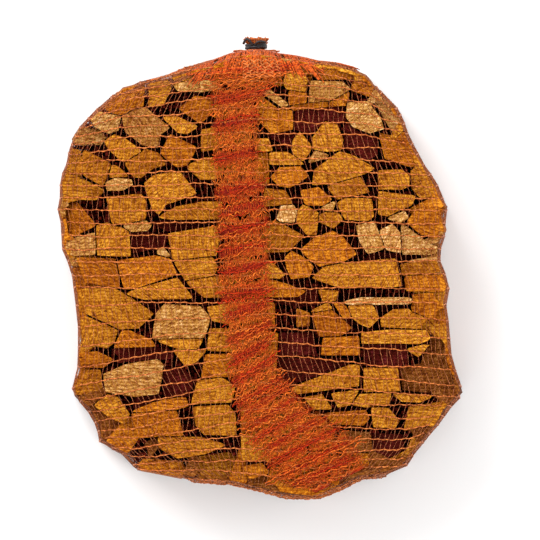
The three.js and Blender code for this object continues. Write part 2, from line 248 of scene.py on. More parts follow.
# %% [markdown]
# ### Split wood
# A sawn end shows growth lines, fine pores and the torn fibres of a rough saw; a split
# side shows long grain.  The mesh carries `ring`, the distance from the tree's pith, and
# `sawn`, which is 1 on the ends, so one group serves both faces of every stick.  The light
# ends of the pores, tears and flecks are painted highlights, and the saw's ripples are
# painted light and shade as well as relief.

# %% Wood group
# Each list tints the wood from the low to the high end of a pattern.  The dark low ends of
# the pore, tear and fleck lists are the wood's own specks, and their whitened high ends are
# painted highlights on the rough fibres; the ripple list paints the light and shade of the
# saw's ripples.
PORE_AND_HIGHLIGHT_TINTS = [(0.33, (0.34, 0.2, 0.1)), (0.46, (0.95, 0.92, 0.85)), (0.62, (1.3, 1.5, 2.2))]
TEAR_AND_HIGHLIGHT_TINTS = [(0.35, (0.42, 0.28, 0.16)), (0.47, (1, 1, 1)), (0.63, (1.25, 1.4, 2.1))]
FLECK_AND_HIGHLIGHT_TINTS = [(0.36, (0.45, 0.3, 0.18)), (0.5, (0.95, 0.95, 0.92)), (0.64, (1.4, 1.55, 2.2))]
RIPPLE_LIGHT_AND_SHADE_TINTS = [(0.05, (0.66, 0.5, 0.34)), (0.4, (1, 1, 1)), (0.95, (1.18, 1.24, 1.5))]
PATCH_TINTS = [(0.3, (0.62, 0.46, 0.3)), (0.5, (1, 1, 1)), (0.7, (1.15, 1.3, 1.9))]
GRAIN_TINTS = [(0.35, (0.45, 0.36, 0.3)), (0.55, (1, 1, 1)), (0.7, (1.4, 1.35, 1.3))]
TONE_TINTS = [(0.0, (0.68, 0.56, 0.42)), (0.5, (1, 1, 1)), (1.0, (1.26, 1.34, 1.75))]


def wood_group():
    """Colour from growth lines, tears, pores and patches, with painted highlights and painted ripple
    shade; height from the same patterns.
    """
    tree, given, out = new_group(
        "split wood",
        {"Early": (COLOUR, (0.6, 0.27, 0.05, 1)), "Late": (COLOUR, (0.4, 0.13, 0.015, 1)),
         "Side": (COLOUR, (0.35, 0.13, 0.02, 1)), "Patches": (FLOAT, 0.5)},
        {"Color": COLOUR, "Height": FLOAT, "Roughness": FLOAT})
    at = object_point(tree)
    x, y, _ = add_node(tree, "ShaderNodeSeparateXYZ", {0: at}).outputs
    sawn, tone, ring = (attribute(tree, name) for name in ("sawn", "tone", "ring"))

    # patterns of the sawn ends: bent growth lines, tears along them, pores, flecks, saw ripples
    bend = maths(tree, "MULTIPLY", noise(tree, at, 45.0, 3.0), 9.0)
    wave = maths(tree, "SINE", maths(tree, "MULTIPLY_ADD", ring, 2.1, bend))
    lines = maths(tree, "POWER", maths(tree, "MULTIPLY_ADD", wave, 0.5, 0.5), 1.6)
    torn_at = add_node(tree, "ShaderNodeCombineXYZ", {"X": maths(tree, "MULTIPLY", ring, 0.75),
                                                      "Y": maths(tree, "MULTIPLY", x, 70.0),
                                                      "Z": maths(tree, "MULTIPLY", y, 70.0)})
    torn = noise(tree, torn_at.outputs[0], 1.0, 4.0, 0.65)
    pores = noise(tree, at, 270.0, 6.0, 0.8)
    flecks = noise(tree, at, 760.0, 3.0)
    ripple = add_node(tree, "ShaderNodeTexWave", {"Vector": at, "Scale": 92.0, "Distortion": 7.0,
                                                  "Detail": 3.0, "Detail Scale": 1.6},
                      bands_direction="Y").outputs["Fac"]
    patch = noise(tree, at, 135.0, 5.0)
    # the split sides' long grain: a noise stretched along the stick
    stretched = add_node(tree, "ShaderNodeMapping", {"Vector": at, "Scale": (1, 1, 0.05)})
    grain = noise(tree, stretched.outputs[0], 480.0, 5.0, 0.6)

    face = mix(tree, maths(tree, "MULTIPLY", lines, 0.3), given["Early"], given["Late"])
    # the light ends of the pore, tear and fleck tints are painted highlights; the ripple tint is painted
    # light and shade
    for pattern, tints, amount in ((pores, PORE_AND_HIGHLIGHT_TINTS, 0.9), (torn, TEAR_AND_HIGHLIGHT_TINTS, 1.0),
                                   (flecks, FLECK_AND_HIGHLIGHT_TINTS, 0.6), (ripple, RIPPLE_LIGHT_AND_SHADE_TINTS, 0.8),
                                   (patch, PATCH_TINTS, given["Patches"])):
        face = mix(tree, amount, face, ramp(tree, pattern, tints), "MULTIPLY")
    side = mix(tree, 1.0, given["Side"], ramp(tree, grain, GRAIN_TINTS), "MULTIPLY")
    side = mix(tree, given["Patches"], side, ramp(tree, patch, PATCH_TINTS), "MULTIPLY")
    body = mix(tree, sawn, side, face)
    tree.links.new(mix(tree, 1.0, body, ramp(tree, tone, TONE_TINTS), "MULTIPLY"), out["Color"])

    ends = maths(tree, "ADD", maths(tree, "ADD", torn, pores), maths(tree, "MULTIPLY", ripple, 0.45))
    height = add_node(tree, "ShaderNodeMix", {0: sawn, 2: grain, 3: ends}).outputs[0]
    tree.links.new(height, out["Height"])
    tree.links.new(maths(tree, "MULTIPLY_ADD", patch, 0.25, 0.62), out["Roughness"])
    return tree


WOOD = wood_group()
print("wood group nodes:", len(WOOD.nodes))

# %% [markdown]
# ### Six woods, two of them painted shade
# Fresh kindling is golden, but each log has its own colour.  Sticks that lie deep are seen
# through several layers of red net, and their dusky and shaded woods are painted shade for
# the hollows they sit in.  One material per kind is enough, because the number `tone`
# already makes each stick a little lighter or darker.

# %% Wood materials
def wood_material(name, early, late, side, patches, bump):
    """One kind of wood: its two end-grain colours, its side colour and its roughness."""
    material, tree, surface = new_material(name, specular=0.06)
    group = add_node(tree, "ShaderNodeGroup", node_tree=WOOD)
    for key, colour in (("Early", early), ("Late", late), ("Side", side)):
        group.inputs[key].default_value = (*colour, 1)
    group.inputs["Patches"].default_value = patches
    finish_surface(tree, surface, group.outputs["Color"], group.outputs["Height"], 0.9, bump)
    tree.links.new(group.outputs["Roughness"], surface["Roughness"])
    return material


GOLDEN = wood_material("golden_wood", (0.46, 0.160, 0.006), (0.35, 0.105, 0.002),
                       (0.34, 0.10, 0.005), 0.6, 0.0013)
PALE = wood_material("pale_wood", (0.51, 0.24, 0.038), (0.40, 0.165, 0.018),
                     (0.38, 0.15, 0.02), 0.6, 0.0013)
AMBER = wood_material("amber_wood", (0.43, 0.122, 0.003), (0.31, 0.072, 0.001),
                      (0.34, 0.09, 0.004), 0.7, 0.0013)
TAN = wood_material("tan_wood", (0.49, 0.215, 0.030), (0.32, 0.11, 0.013),
                    (0.33, 0.115, 0.012), 0.8, 0.0016)
# dusky wood: painted shade for sticks part way down the hollows
SHADE = wood_material("painted_shade_wood", (0.20, 0.055, 0.004), (0.12, 0.03, 0.002),
                      (0.15, 0.035, 0.002), 0.9, 0.0013)
# shaded wood: near-black painted shade for the deepest hollows and the splinters in them
DARK = wood_material("shaded_wood", (0.105, 0.008, 0.003), (0.03, 0.003, 0.001),
                     (0.10, 0.008, 0.003), 1.0, 0.0013)
WOOD_BY_LETTER = {"G": GOLDEN, "A": AMBER, "P": PALE, "T": TAN, "S": SHADE, "D": DARK}
print("wood materials:", [m.name for m in WOOD_BY_LETTER.values()])

# %% [markdown]
# ## The bundle's outline
# The net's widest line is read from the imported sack.  Two measures come from it: how far
# inside the outline a point lies, and how high the net stands over that point.

# %% Outline and net height
NET_ROOM = 3.2                   # space left under the net, mm
outer_plan, outer_z = to_plan(node_points("net_sack"))
RIM_Z = 26.0
rim = outer_plan[np.abs(outer_z - RIM_Z) < 0.6]
NET_INSET = np.array([0, 2, 7, 15, 45, 95, 150.0])
NET_HEIGHT = np.array([168, 186, 195, 200, 203, 205, 206.0])


def outline_table():
    """The bundle's outline in plan: the outermost net corner in each direction."""
    angle = np.arctan2(rim[:, 1], rim[:, 0])
    radius = np.hypot(rim[:, 0], rim[:, 1])
    keys = np.round(angle, 3)
    best = {k: radius[keys == k].max() for k in np.unique(keys)}
    turned = np.array(sorted(best))
    return turned, np.array([best[k] for k in turned])


OUT_ANGLE, OUT_RADIUS = outline_table()


def outline_radius(angle):
    """Distance from the plan's zero point to the outline in a direction."""
    return np.interp(angle, OUT_ANGLE, OUT_RADIUS, period=2 * np.pi)


EDGE_ANGLE = np.linspace(-np.pi, np.pi, 721)[:-1]
EDGE = outline_radius(EDGE_ANGLE)[:, None] * np.stack([np.cos(EDGE_ANGLE), np.sin(EDGE_ANGLE)], 1)


def inside_polygon(points, corners):
    """Even-odd test of many points against one outline."""
    ahead = np.roll(corners, -1, axis=0)
    x, y = points[..., 0, None], points[..., 1, None]
    crosses = (corners[:, 1] > y) != (ahead[:, 1] > y)
    rise = ahead[:, 1] - corners[:, 1]
    step = np.where(rise == 0, 1, rise)
    at = corners[:, 0] + (y - corners[:, 1]) / step * (ahead[:, 0] - corners[:, 0])
    return (crosses & (x < at)).sum(-1) % 2 == 1


def inset_of(plan):
    """How far inside the outline plan points lie; negative outside."""
    flat = plan.reshape(-1, 2)
    gap = np.concatenate([np.linalg.norm(part[:, None] - EDGE[None], axis=2).min(1)
                          for part in np.array_split(flat, max(1, len(flat) // 4000))])
    inside = np.hypot(*flat.T) <= outline_radius(np.arctan2(flat[:, 1], flat[:, 0]))
    return np.where(inside, gap, -gap).reshape(plan.shape[:-1])


def crown_height(plan):
    """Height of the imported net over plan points."""
    return np.interp(inset_of(plan), NET_INSET, NET_HEIGHT)


print("outline corners read:", len(OUT_ANGLE))

# %% [markdown]
# ## One split stick
# A stick of kindling is a log sawn to length and split with a blade.  Its outline hardly
# changes along its length, so it is modelled as a grid: around the outline one way, and up
# the side and across both ends the other way.  The split sides waver along the grain and
# the sawn ends are rough, with edges chipped by the saw.

# %% Stick surface
AROUND = 44                      # points around a stick
UP = 9                           # rows up its side
CAP = 5                          # rings across a sawn end
CAP_SHRINK = np.array([0.95, 0.78, 0.5, 0.22])
MOST_GROWTH, GROWTH_GAP = 1.5, 0.25
RIM_REACH, RIM_ROOM = 9.0, 2.3   # sticks this near the rim are pushed out to this


def resample(corners, count=AROUND):
    """Points along a closed outline, shared out by edge length so every corner is kept."""
    ring = np.vstack([corners, corners[:1]])
    length = np.linalg.norm(np.diff(ring, axis=0), axis=1)
    parts = np.maximum(1, np.floor(length / length.sum() * (count - len(corners))).astype(int))
    while parts.sum() < count:
        parts[np.argmax(length / parts)] += 1
    at = np.concatenate([k + np.arange(n) / n for k, n in enumerate(parts)])
    return np.stack([np.interp(at, np.arange(len(ring)), ring[:, k]) for k in (0, 1)], 1)


def edge_gap(points, corners):
    """Distance from each point to the nearest of one or more outline edges (n, 2, 2)."""
    start, along = corners[:, 0], corners[:, 1] - corners[:, 0]
    share = ((points[:, None] - start) * along).sum(-1) / np.maximum((along ** 2).sum(-1), 1e-9)
    foot_point = start + np.clip(share, 0, 1)[..., None] * along
    return np.linalg.norm(points[:, None] - foot_point, axis=2).min(1)


def edges_of(corners):
    """The edges of an outline as (n, 2, 2)."""
    return np.stack([corners, np.roll(corners, -1, axis=0)], 1)


def fill_out(outline, others):
    """Pushes an outline out towards its neighbours, and out to the net at the rim.

    Each point moves along its outward normal by the least of MOST_GROWTH and half the
    free gap less GROWTH_GAP; a point near the rim moves outward until RIM_ROOM is left.
    """
    ahead = np.roll(outline, -1, 0) - np.roll(outline, 1, 0)
    normal = np.stack([ahead[:, 1], -ahead[:, 0]], 1)
    normal = normal / np.linalg.norm(normal, axis=1, keepdims=True)
    free = edge_gap(outline, others)
    grow = np.clip(free / 2 - GROWTH_GAP, 0, MOST_GROWTH)
    inset = inset_of(outline)
    radial = outline / np.linalg.norm(outline, axis=1, keepdims=True)
    facing = np.clip((normal * radial).sum(1), 0, 1) ** 0.5
    at_rim = (inset < RIM_REACH) & (facing > 0.2)
    push = np.clip(inset - RIM_ROOM, 0, None)
    moved = outline + normal * np.minimum(grow, push)[:, None]
    return np.where(at_rim[:, None], outline + radial * (facing * push)[:, None], moved)


def tilted_top(corners, tops):
    """The flat, possibly leaning, top of a stick: height as a plane over the plan."""
    table = np.column_stack([corners, np.ones(len(corners))])
    return np.linalg.lstsq(table, tops, rcond=None)[0]


def split_stick(corners, foot, tops, seed, others):
    """Grid of one stick: sides and both ends; returns points, faces and material numbers.

    Side row k at height z: outline drawn in towards the centre by a wavering split depth.
    Ends: the last row repeated at smaller and smaller scales about the centre, closed by
    one middle point; each end falls away at its edge by a chip depth.
    """
    rng = np.random.default_rng(seed)
    outline = fill_out(resample(np.asarray(corners, float)), others)
    centre = outline.mean(0)
    arm = outline - centre
    reach = np.linalg.norm(arm, axis=1)
    size = reach.min()
    around = np.linspace(0, 2 * np.pi, AROUND, endpoint=False)
    plane = tilted_top(np.asarray(corners, float), np.asarray(tops, float))
    edge_top = outline @ plane[:2] + plane[2]
    chip = 0.15 + min(2.2, 0.14 * size) * np.clip(wobble(around * 2, seed + 1), 0, 1) ** 1.5
    depth = min(0.5, 0.03 * size + 0.08)
    t = np.linspace(0, 1, UP)[:, None]
    split = depth * (0.5 + 0.5 * wobble2(around * 7, t * 5 + 0 * around, seed + 2, base=0.9))
    split = split + 0.5 * depth * rng.random(AROUND)
    sides_xy = centre + arm * (1 - split / reach)[..., None]
    sides_z = foot + t * (edge_top - chip - foot)
    shrink = CAP_SHRINK[:, None]
    tops_xy = centre + (sides_xy[-1] - centre) * shrink[..., None]
    rough = min(0.8, 0.05 * size)
    tops_z = (tops_xy @ plane[:2] + plane[2] - 0.2
              - rough * (0.5 + 0.5 * wobble2(tops_xy[..., 0], tops_xy[..., 1], seed + 3, base=0.35)))
    feet_xy = centre + (sides_xy[0] - centre) * shrink[::-1][..., None]
    feet_z = np.full(feet_xy.shape[:2], foot)
    xy = np.concatenate([feet_xy, sides_xy, tops_xy])
    z = np.concatenate([feet_z, sides_z, tops_z])
    middle_z = centre @ plane[:2] + plane[2] - 0.3
    points = np.vstack([place(xy, z).reshape(-1, 3), place(centre, foot)[None],
                        place(centre, middle_z)[None]])
    rows = len(xy)
    grid = np.arange(rows * AROUND).reshape(rows, AROUND)
    low, high = grid[:-1], grid[1:]
    quads = np.stack([low, np.roll(low, -1, 1), np.roll(high, -1, 1), high], -1).reshape(-1, 4)
    first, last = grid[0], grid[-1]
    bottom, top = rows * AROUND, rows * AROUND + 1
    fans = np.concatenate([
        np.stack([np.roll(first, -1), first, np.full(AROUND, bottom)], -1),
        np.stack([last, np.roll(last, -1), np.full(AROUND, top)], -1)])
    sawn = np.ones(len(points))
    sawn[grid[CAP - 1:CAP - 1 + UP - 1].reshape(-1)] = 0
    sawn[grid[CAP + UP - 2].reshape(-1)] = 0.8
    pith = centre + rng.uniform(60, 150) * np.array([np.cos(seed * 2.4), np.sin(seed * 2.4)])
    flat = np.vstack([xy.reshape(-1, 2), centre, centre])
    ring = np.linalg.norm(flat - pith, axis=1)
    tone = np.clip(np.full(len(points), 0.5 + 0.2 * rng.standard_normal()), 0, 1)
    return points, quads, fans, dict(sawn=sawn, ring=ring, tone=tone)


def join_pieces(pieces):
    """Several (points, quads, triangles, numbers) become one."""
    starts = np.cumsum([0] + [len(p[0]) for p in pieces[:-1]])
    points = np.vstack([p[0] for p in pieces])
    quads = np.vstack([p[1] + s for p, s in zip(pieces, starts)])
    fans = np.vstack([p[2] + s for p, s in zip(pieces, starts)])
    numbers = {k: np.concatenate([p[3][k] for p in pieces]) for k in pieces[0][3]}
    return points, quads, fans, numbers


print("corners of one stick:", AROUND * (UP + 2 * len(CAP_SHRINK)) + 2)

# %% [markdown]
# ## The big sticks
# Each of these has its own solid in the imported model.  Its lower ring of corners is the
# stick's outline and its upper ring gives the lean of its top, so the dressed stick stands
# exactly where the solid stands.

# %% Big sticks
PALE_STICKS = (24,)
AMBER_STICKS = (5, 8, 11, 17, 22, 25, 29, 31, 34, 37)
TAN_STICKS = (1, 16, 20, 21)
BIG_STICKS = 38


def read_stick(name):
    """Outline corners in plan, foot height and top heights from a packed stick."""
    plan, z = to_plan(node_points(name))
    foot = z.min()
    lower, upper = plan[z < foot + 0.1], plan[z >= foot + 0.1]
    heights = z[z >= foot + 0.1]
    centre = lower.mean(0)
    lower = lower[np.argsort(np.arctan2(*(lower - centre).T[::-1]))]
    gap = np.linalg.norm(lower[:, None] - upper[None], axis=2)
    return lower, foot, heights[gap.argmin(1)]


def kind_of_wood(number):
    """The material of a big stick."""
    if number in PALE_STICKS:
        return PALE
    if number in TAN_STICKS:
        return TAN
    return AMBER if number in AMBER_STICKS else GOLDEN


big = {number: read_stick(f"stick_{number:02d}") for number in range(1, BIG_STICKS + 1)}
print("big sticks read:", len(big))

# %% [markdown]
# ## The small sticks
# Slivers and offcuts fill the gaps between the big sticks.  The imported model has one solid
# for each group of them; here every stick of a group is drawn by its own outline.  An
# entry is `(drop, slope, wood, outline)`: how far its end sits below the net, how much it
# leans, and the letter of its wood.  Deep drops are the dark hollows between the ends.

# %% Small sticks
# Letters S and D are the dusky and the shaded wood: painted shade for sticks that lie deep in the
# hollows.
SMALL_STICKS = {
    1: [
        (4, 0.35, "A", [(-158, 160), (-139, 180), (-118, 185), (-120, 163), (-143, 154)]),
        (6, 0, "P", [(-172, 148), (-160, 154), (-143, 152), (-145, 139), (-153, 136), (-166, 141)]),
        (3, 0.6, "T", [(-190, 128), (-183, 139), (-166, 139), (-157, 131), (-161, 125), (-187, 124)]),
        (4, 0.5, "G", [(-190, 120), (-182, 117), (-189, 100), (-197, 96)]),
        (8, 0, "G", [(-196, 94), (-189, 98), (-183, 115), (-178, 108), (-184, 84), (-195, 82)]),
    ],
    2: [
        (3, 0, "G", [(-158, 127), (-148, 133), (-139, 130), (-121, 117),
                     (-138, 107), (-143, 110), (-152, 119)]),
        (4, 0, "G", [(-151, 103), (-145, 101), (-136, 93), (-152, 92)]),
        (4, 0, "P", [(-156, 85), (-148, 89), (-132, 88), (-131, 84), (-141, 79), (-155, 79)]),
    ],
    3: [
        (3, 0, "G", [(-98, 151), (-85, 151), (-66, 142), (-75, 136), (-84, 137)]),
        (3, 0.2, "A", [(-82, 160), (-67, 172), (-50, 170), (-50, 157), (-62, 146), (-72, 153)]),
        (3, 0, "G", [(-75, 102), (-58, 110), (-38, 110), (-38, 97), (-47, 90), (-62, 90)]),
        (3, 0, "A", [(-48, 170), (-14, 174), (-12, 150), (-47, 152)]),
        (4, 0, "G", [(-60, 138), (-12, 146), (-12, 128), (-60, 118)]),
        (4, 0, "A", [(-36, 112), (-12, 124), (-12, 96), (-36, 92)]),
    ],
    4: [
        (3, 0, "P", [(-138, 42), (-118, 47), (-112, 43), (-116, 37.5), (-132, 37.5)]),
        (2, 0, "P", [(-104, 20), (-99, 19), (-93, 12), (-104, 15)]),
        (28, 0, "D", [(-131, 34), (-116, 36), (-97, 30), (-98, 22), (-130, 16)]),
        (30, 0, "D", [(-110, 46), (-62, 47), (-50, 45), (-94, 37.5)]),
    ],
    5: [
        (3, 0, "G", [(-186, -117), (-178, -104), (-163, -103), (-161, -124), (-185, -126)]),
        (4, 0, "A", [(-182, -86), (-165, -85), (-151, -92), (-159, -99), (-182, -99)]),
        (3, 0, "A", [(-140, -64), (-133, -64), (-112, -73), (-108, -78), (-148, -80)]),
        (3, 0, "G", [(-104, -73), (-60, -72), (-66, -81), (-84, -80)]),
        (4, 0, "G", [(-88, -83), (-57, -83), (-66, -93), (-76, -98)]),
        (22, 0, "D", [(-150, -82), (-106, -81), (-90, -84), (-90, -90), (-137, -93)]),
    ],
    6: [
        (3, 0, "G", [(-167, -138), (-155, -128), (-146, -130), (-134, -147), (-140, -155), (-153, -149)]),
        (3, 0, "A", [(-129, -144), (-110, -135), (-77, -131), (-75, -138), (-86, -141)]),
        (30, 0, "D", [(-98, -101), (-80, -101), (-69, -112), (-74, -128), (-98, -128)]),
        (24, 0, "D", [(-128, -132), (-104, -129), (-104, -133), (-128, -141)]),
    ],
    7: [
        (3, 0, "A", [(-124, -198), (-118, -192), (-80, -196), (-77, -204), (-80, -210), (-121, -202)]),
        (3, 0, "G", [(-104, -171), (-62, -171), (-38, -178), (-60, -187), (-85, -190), (-103, -180)]),
        (3, 0, "G", [(-65, -190), (-34, -186), (-25, -190), (-30, -211), (-65, -212)]),
        (16, 0, "S", [(-116, -176), (-106, -172), (-106, -181), (-112, -189)]),
    ],
    8: [
        (2, 0, "G", [(-64, -114), (-40, -111), (-28, -120), (-31, -134), (-70, -136)]),
        (4, 0, "G", [(-54, -40), (-20, -35), (-22, -58), (-50, -52)]),
        (4, 0, "A", [(-18, -35), (12, -35), (12, -60), (-20, -60)]),
        (4, 0, "G", [(-52, -62), (-12, -62), (-14, -84), (-54, -82)]),
        (5, 0, "A", [(-10, -64), (16, -66), (14, -88), (-12, -86)]),
        (4, 0, "A", [(-56, -88), (-24, -87), (-28, -108), (-60, -110)]),
        (4, 0, "G", [(-20, -90), (14, -91), (12, -122), (-24, -118)]),
        (30, 0, "D", [(18, -66), (50, -66), (54, -86), (18, -88)]),
        (26, 0, "D", [(18, -92), (86, -92), (84, -97), (50, -110), (18, -118)]),
    ],
    9: [
        (4, 0, "A", [(-17, -200), (0, -197), (6, -206), (-12, -211)]),
        (4, 0, "A", [(-20, -142), (8, -131), (10, -160), (-20, -165)]),
        (4, 0, "G", [(12, -131), (33, -133), (46, -146), (44, -170), (12, -164)]),
        (4, 0, "A", [(48, -148), (58, -150), (70, -161), (74, -185), (48, -180)]),
        (4, 0, "G", [(-20, -168), (8, -163), (8, -193), (-19, -193)]),
        (5, 0, "A", [(12, -168), (44, -173), (44, -198), (12, -194)]),
        (5, 0, "A", [(48, -184), (75, -188), (80, -206), (75, -214), (50, -212), (46, -200)]),
        (6, 0, "A", [(10, -200), (44, -202), (48, -223), (20, -220), (6, -213)]),
    ],
    10: [
        (3, 0.2, "G", [(-112, 184), (-95, 189), (-92, 180), (-100, 164), (-113, 163)]),
        (3, 0, "G", [(-90, 190), (-60, 197), (-50, 193), (-72, 188)]),
        (3, 0, "P", [(-88, 184), (-70, 187), (-44, 187), (-42, 181), (-60, 178), (-84, 179)]),
        (4, 0, "A", [(-48, 199), (-16, 203), (-14, 185), (-46, 190)]),
    ],
    11: [
        (5, 0, "G", [(22, 186), (25, 195), (38, 196), (45, 190), (43, 178), (26, 180)]),
        (6, 0.3, "A", [(50, 195), (54, 201), (72, 201), (95, 194), (93, 191), (60, 190)]),
        (2, 0, "P", [(48, 167), (50, 187), (80, 186), (88, 180), (70, 169)]),
        (4, 0.4, "A", [(92, 189), (104, 189), (112, 180), (108, 173), (91, 179)]),
        (2, 0, "P", [(-5, 181), (4, 181), (26, 164), (21, 162.5)]),
        (4, 0.5, "P", [(113, 170), (126, 166), (139, 147), (133, 136), (123, 151)]),
        (10, 0, "A", [(0, 186), (20, 184), (21, 203), (4, 202)]),
        (5, 0, "A", [(28, 178), (44, 175), (44, 166), (28, 164)]),
        (9, 0, "A", [(31, 158.5), (46, 160.8), (66, 162.2), (66, 166.3), (47, 165), (30, 162.8)]),
        (7, 0, "A", [(67, 162.4), (83.5, 163.2), (85, 168), (87, 175.8), (70, 167.2)]),
    ],
    12: [
        (3, 0, "G", [(38, 136), (50, 121), (41, 108), (32, 116), (31, 127)]),
        (3, 0, "G", [(64, 147), (75, 144), (81, 128), (79, 119), (66, 118), (51, 120), (52, 131)]),
        (3, 0, "P", [(48, 107), (54, 117), (66, 113), (60, 110)]),
        (24, 0, "D", [(84, 147), (91, 139), (107, 132), (115, 131), (115, 114),
                      (104, 109), (94, 116), (83, 121), (84, 130)]),
        (8, 0, "A", [(-4, 150), (-4, 174), (17, 158), (30, 158), (30, 140), (10, 136)]),
        (20, 0, "D", [(34, 140), (48, 134), (62, 149), (82, 146), (82, 162), (46, 159), (34, 157)]),
        (26, 0, "D", [(8, 133), (28, 121), (30, 130), (34, 136)]),
    ],
    13: [
        (3, 0, "G", [(-6, 129), (6, 129), (9.5, 119), (-6, 117)]),
        (3, 0, "G", [(8, 115), (25, 115.5), (36, 109), (41, 105), (8, 105)]),
        (10, 0, "A", [(-6, 115), (6, 115), (6, 84), (-6, 84)]),
        (3, 0, "A", [(10, 91), (18, 100), (38, 101), (46, 93), (36, 86), (28, 82), (18, 83)]),
        (3, 0, "G", [(4, 79), (23, 77), (30, 65), (2, 63)]),
        (3, 0, "P", [(20, 62), (31, 63), (34, 57), (32, 47), (19, 47.5), (16, 50)]),
    ],
    14: [
        (3, 0, "G", [(67, 81), (98, 91), (107, 77), (76, 70)]),
        (3, 0, "A", [(40, 77), (57, 80), (69, 69), (62, 64), (44, 64)]),
        (3, 0, "G", [(42, 63), (56, 55), (54, 34), (46, 34), (36, 46), (37, 57)]),
        (3, 0, "P", [(61, 60), (73, 66), (70, 57)]),
        (3, 0, "G", [(58, 52), (66, 56), (77, 54), (80, 49), (72, 41), (59, 47)]),
    ],
    15: [
        (3, 0, "G", [(118, 97), (140, 98), (147, 92), (147, 83), (141, 80), (118, 80)]),
        (3, 0, "G", [(118, 76), (153, 71.5), (150, 64), (137, 58.5), (126, 53), (118, 54.5)]),
        (3, 0, "P", [(128, 50), (143, 56), (146, 51), (140, 46.5)]),
    ],
    16: [
        (2, 0, "P", [(96, 42), (112, 46), (117, 35), (122, 20), (107, 15), (99, 27)]),
        (2, 0, "P", [(119, 37), (131, 43), (138, 35), (139, 16), (126, 19)]),
        (2, 0.3, "P", [(141, 43), (158, 31), (172, 20), (170, 14), (142, 14)]),
        (3, 0, "G", [(140, 4), (174, 7), (176, -4), (142, -7)]),
        (4, 0, "A", [(144, -9), (176, -8), (181, -18), (179, -23), (146, -22)]),
        (30, 0, "D", [(108, 13), (136, 14), (136, 11.5), (108, 10.5)]),
        (30, 0, "D", [(140, 12), (172, 12), (174, 9), (140, 6)]),
    ],
    17: [
        (3, 0, "A", [(24, 10), (30, 16), (44, 8), (51, 1), (47, -8), (30, -10), (26, 0)]),
        (3, 0, "G", [(58, -23), (76, -24), (73, -32), (63, -34)]),
        (2, 0, "P", [(80, -35), (100, -31), (150, -31), (150, -35), (100, -36)]),
        (3, 0, "G", [(88, -39), (110, -37), (117, -50), (108, -59), (98, -55), (91, -49)]),
        (3, 0, "A", [(51, -46), (70, -43), (89, -60), (80, -67), (58, -68)]),
        (4, 0, "G", [(36, -42), (47, -46), (47, -57), (36, -58)]),
        (3, 0, "G", [(50, -44), (66, -36), (70, -41)]),
        (3, 0, "A", [(73, -35), (82, -36), (89, -49), (83, -50)]),
        (26, 0, "D", [(6, -22), (54, -22), (56, -36), (34, -38), (6, -32)]),
    ],
    18: [
        (3, 0, "A", [(152, -28), (171, -26), (178, -38), (172, -50), (151, -44)]),
        (3, 0, "G", [(120, -51), (132, -43), (147, -42), (165, -52), (158, -60), (121, -58)]),
        (3, 0, "G", [(101, -66), (130, -63), (165, -64), (169, -71), (158, -75), (101, -75)]),
        (4, 0, "G", [(147, -82), (169, -77), (157, -88)]),
        (26, 0, "D", [(103, -78), (144, -78), (146, -90), (139, -98), (103, -97)]),
        (18, 0, "S", [(172, -66), (184, -70), (186, -90), (196, -120),
                      (172, -124), (142, -122), (140, -101), (160, -97)]),
    ],
    19: [
        (3, 0, "G", [(44, -131), (60, -128), (69, -141), (52, -141)]),
        (3, 0, "G", [(71, -127), (96, -124), (88, -137), (77, -139)]),
        (3, 0, "G", [(99, -128), (129, -127), (127, -136), (105, -139), (92, -137)]),
        (3, 0, "G", [(133, -127), (170, -129), (158, -134), (141, -133)]),
        (3, 0, "G", [(111, -141), (127, -142), (137, -154), (133, -160), (113, -159)]),
        (3, 0, "A", [(64, -147), (104, -144), (107, -151), (102, -157), (72, -156)]),
    ],
    20: [
        (4, 0.4, "G", [(152, -171), (158, -171), (152, -182), (145, -188),
                       (130, -199), (128, -193), (146, -184)]),
        (16, 0, "S", [(78, -164), (108, -166), (110, -184), (84, -182)]),
        (22, 0, "D", [(112, -167), (140, -168), (142, -182), (126, -190), (113, -186)]),
        (8, 0, "A", [(86, -186), (110, -188), (108, -204), (88, -205)]),
    ],
}


def small_stick(entry, foot):
    """Outline, foot and top heights of one small stick under the net."""
    drop, slope, _, outline = entry
    corners = np.array(outline, float)
    turn = np.roll(corners, -1, 0)
    if (corners[:, 0] * turn[:, 1] - corners[:, 1] * turn[:, 0]).sum() < 0:
        corners = corners[::-1]
    across = corners - corners.mean(0)
    away = corners.mean(0) / np.linalg.norm(corners.mean(0))
    crown = crown_height(corners).min() - NET_ROOM - drop
    return corners, foot, crown - slope * (across @ away - (across @ away).min())


small = {}
for group, entries in SMALL_STICKS.items():
    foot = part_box(f"small_sticks_{group:02d}")[0].z / MM
    small[group] = [small_stick(entry, foot) for entry in entries]
every_stick = list(big.values()) + [stick for sticks in small.values() for stick in sticks]
print("small sticks:", len(every_stick) - len(big))

# %% [markdown]
# ## Packing them tight
# A bundle is shaken down until its sticks touch.  Each outline is pushed out until it
# nearly meets its neighbours, and at the rim until it nearly meets the net.

# %% Build the sticks
BIG_SEED, GROUP_SEED = 100, 1000
crowns = [(corners, tilted_top(corners, tops)) for corners, _, tops in every_stick]
every_edge = [edges_of(corners) for corners, _, _ in every_stick]


def dressed(index, seed):
    """The surface of one stick, grown against all the others."""
    others = np.vstack([edges for k, edges in enumerate(every_edge) if k != index])
    return split_stick(*every_stick[index], seed, others)


for index, number in enumerate(big):
    name = f"stick_{number:02d}"
    points, quads, fans, numbers = dressed(index, BIG_SEED + number)
    make_object(f"split_{name}", points, [quads, fans], kind_of_wood(number), "wood",
                [name], smooth=False, **numbers)

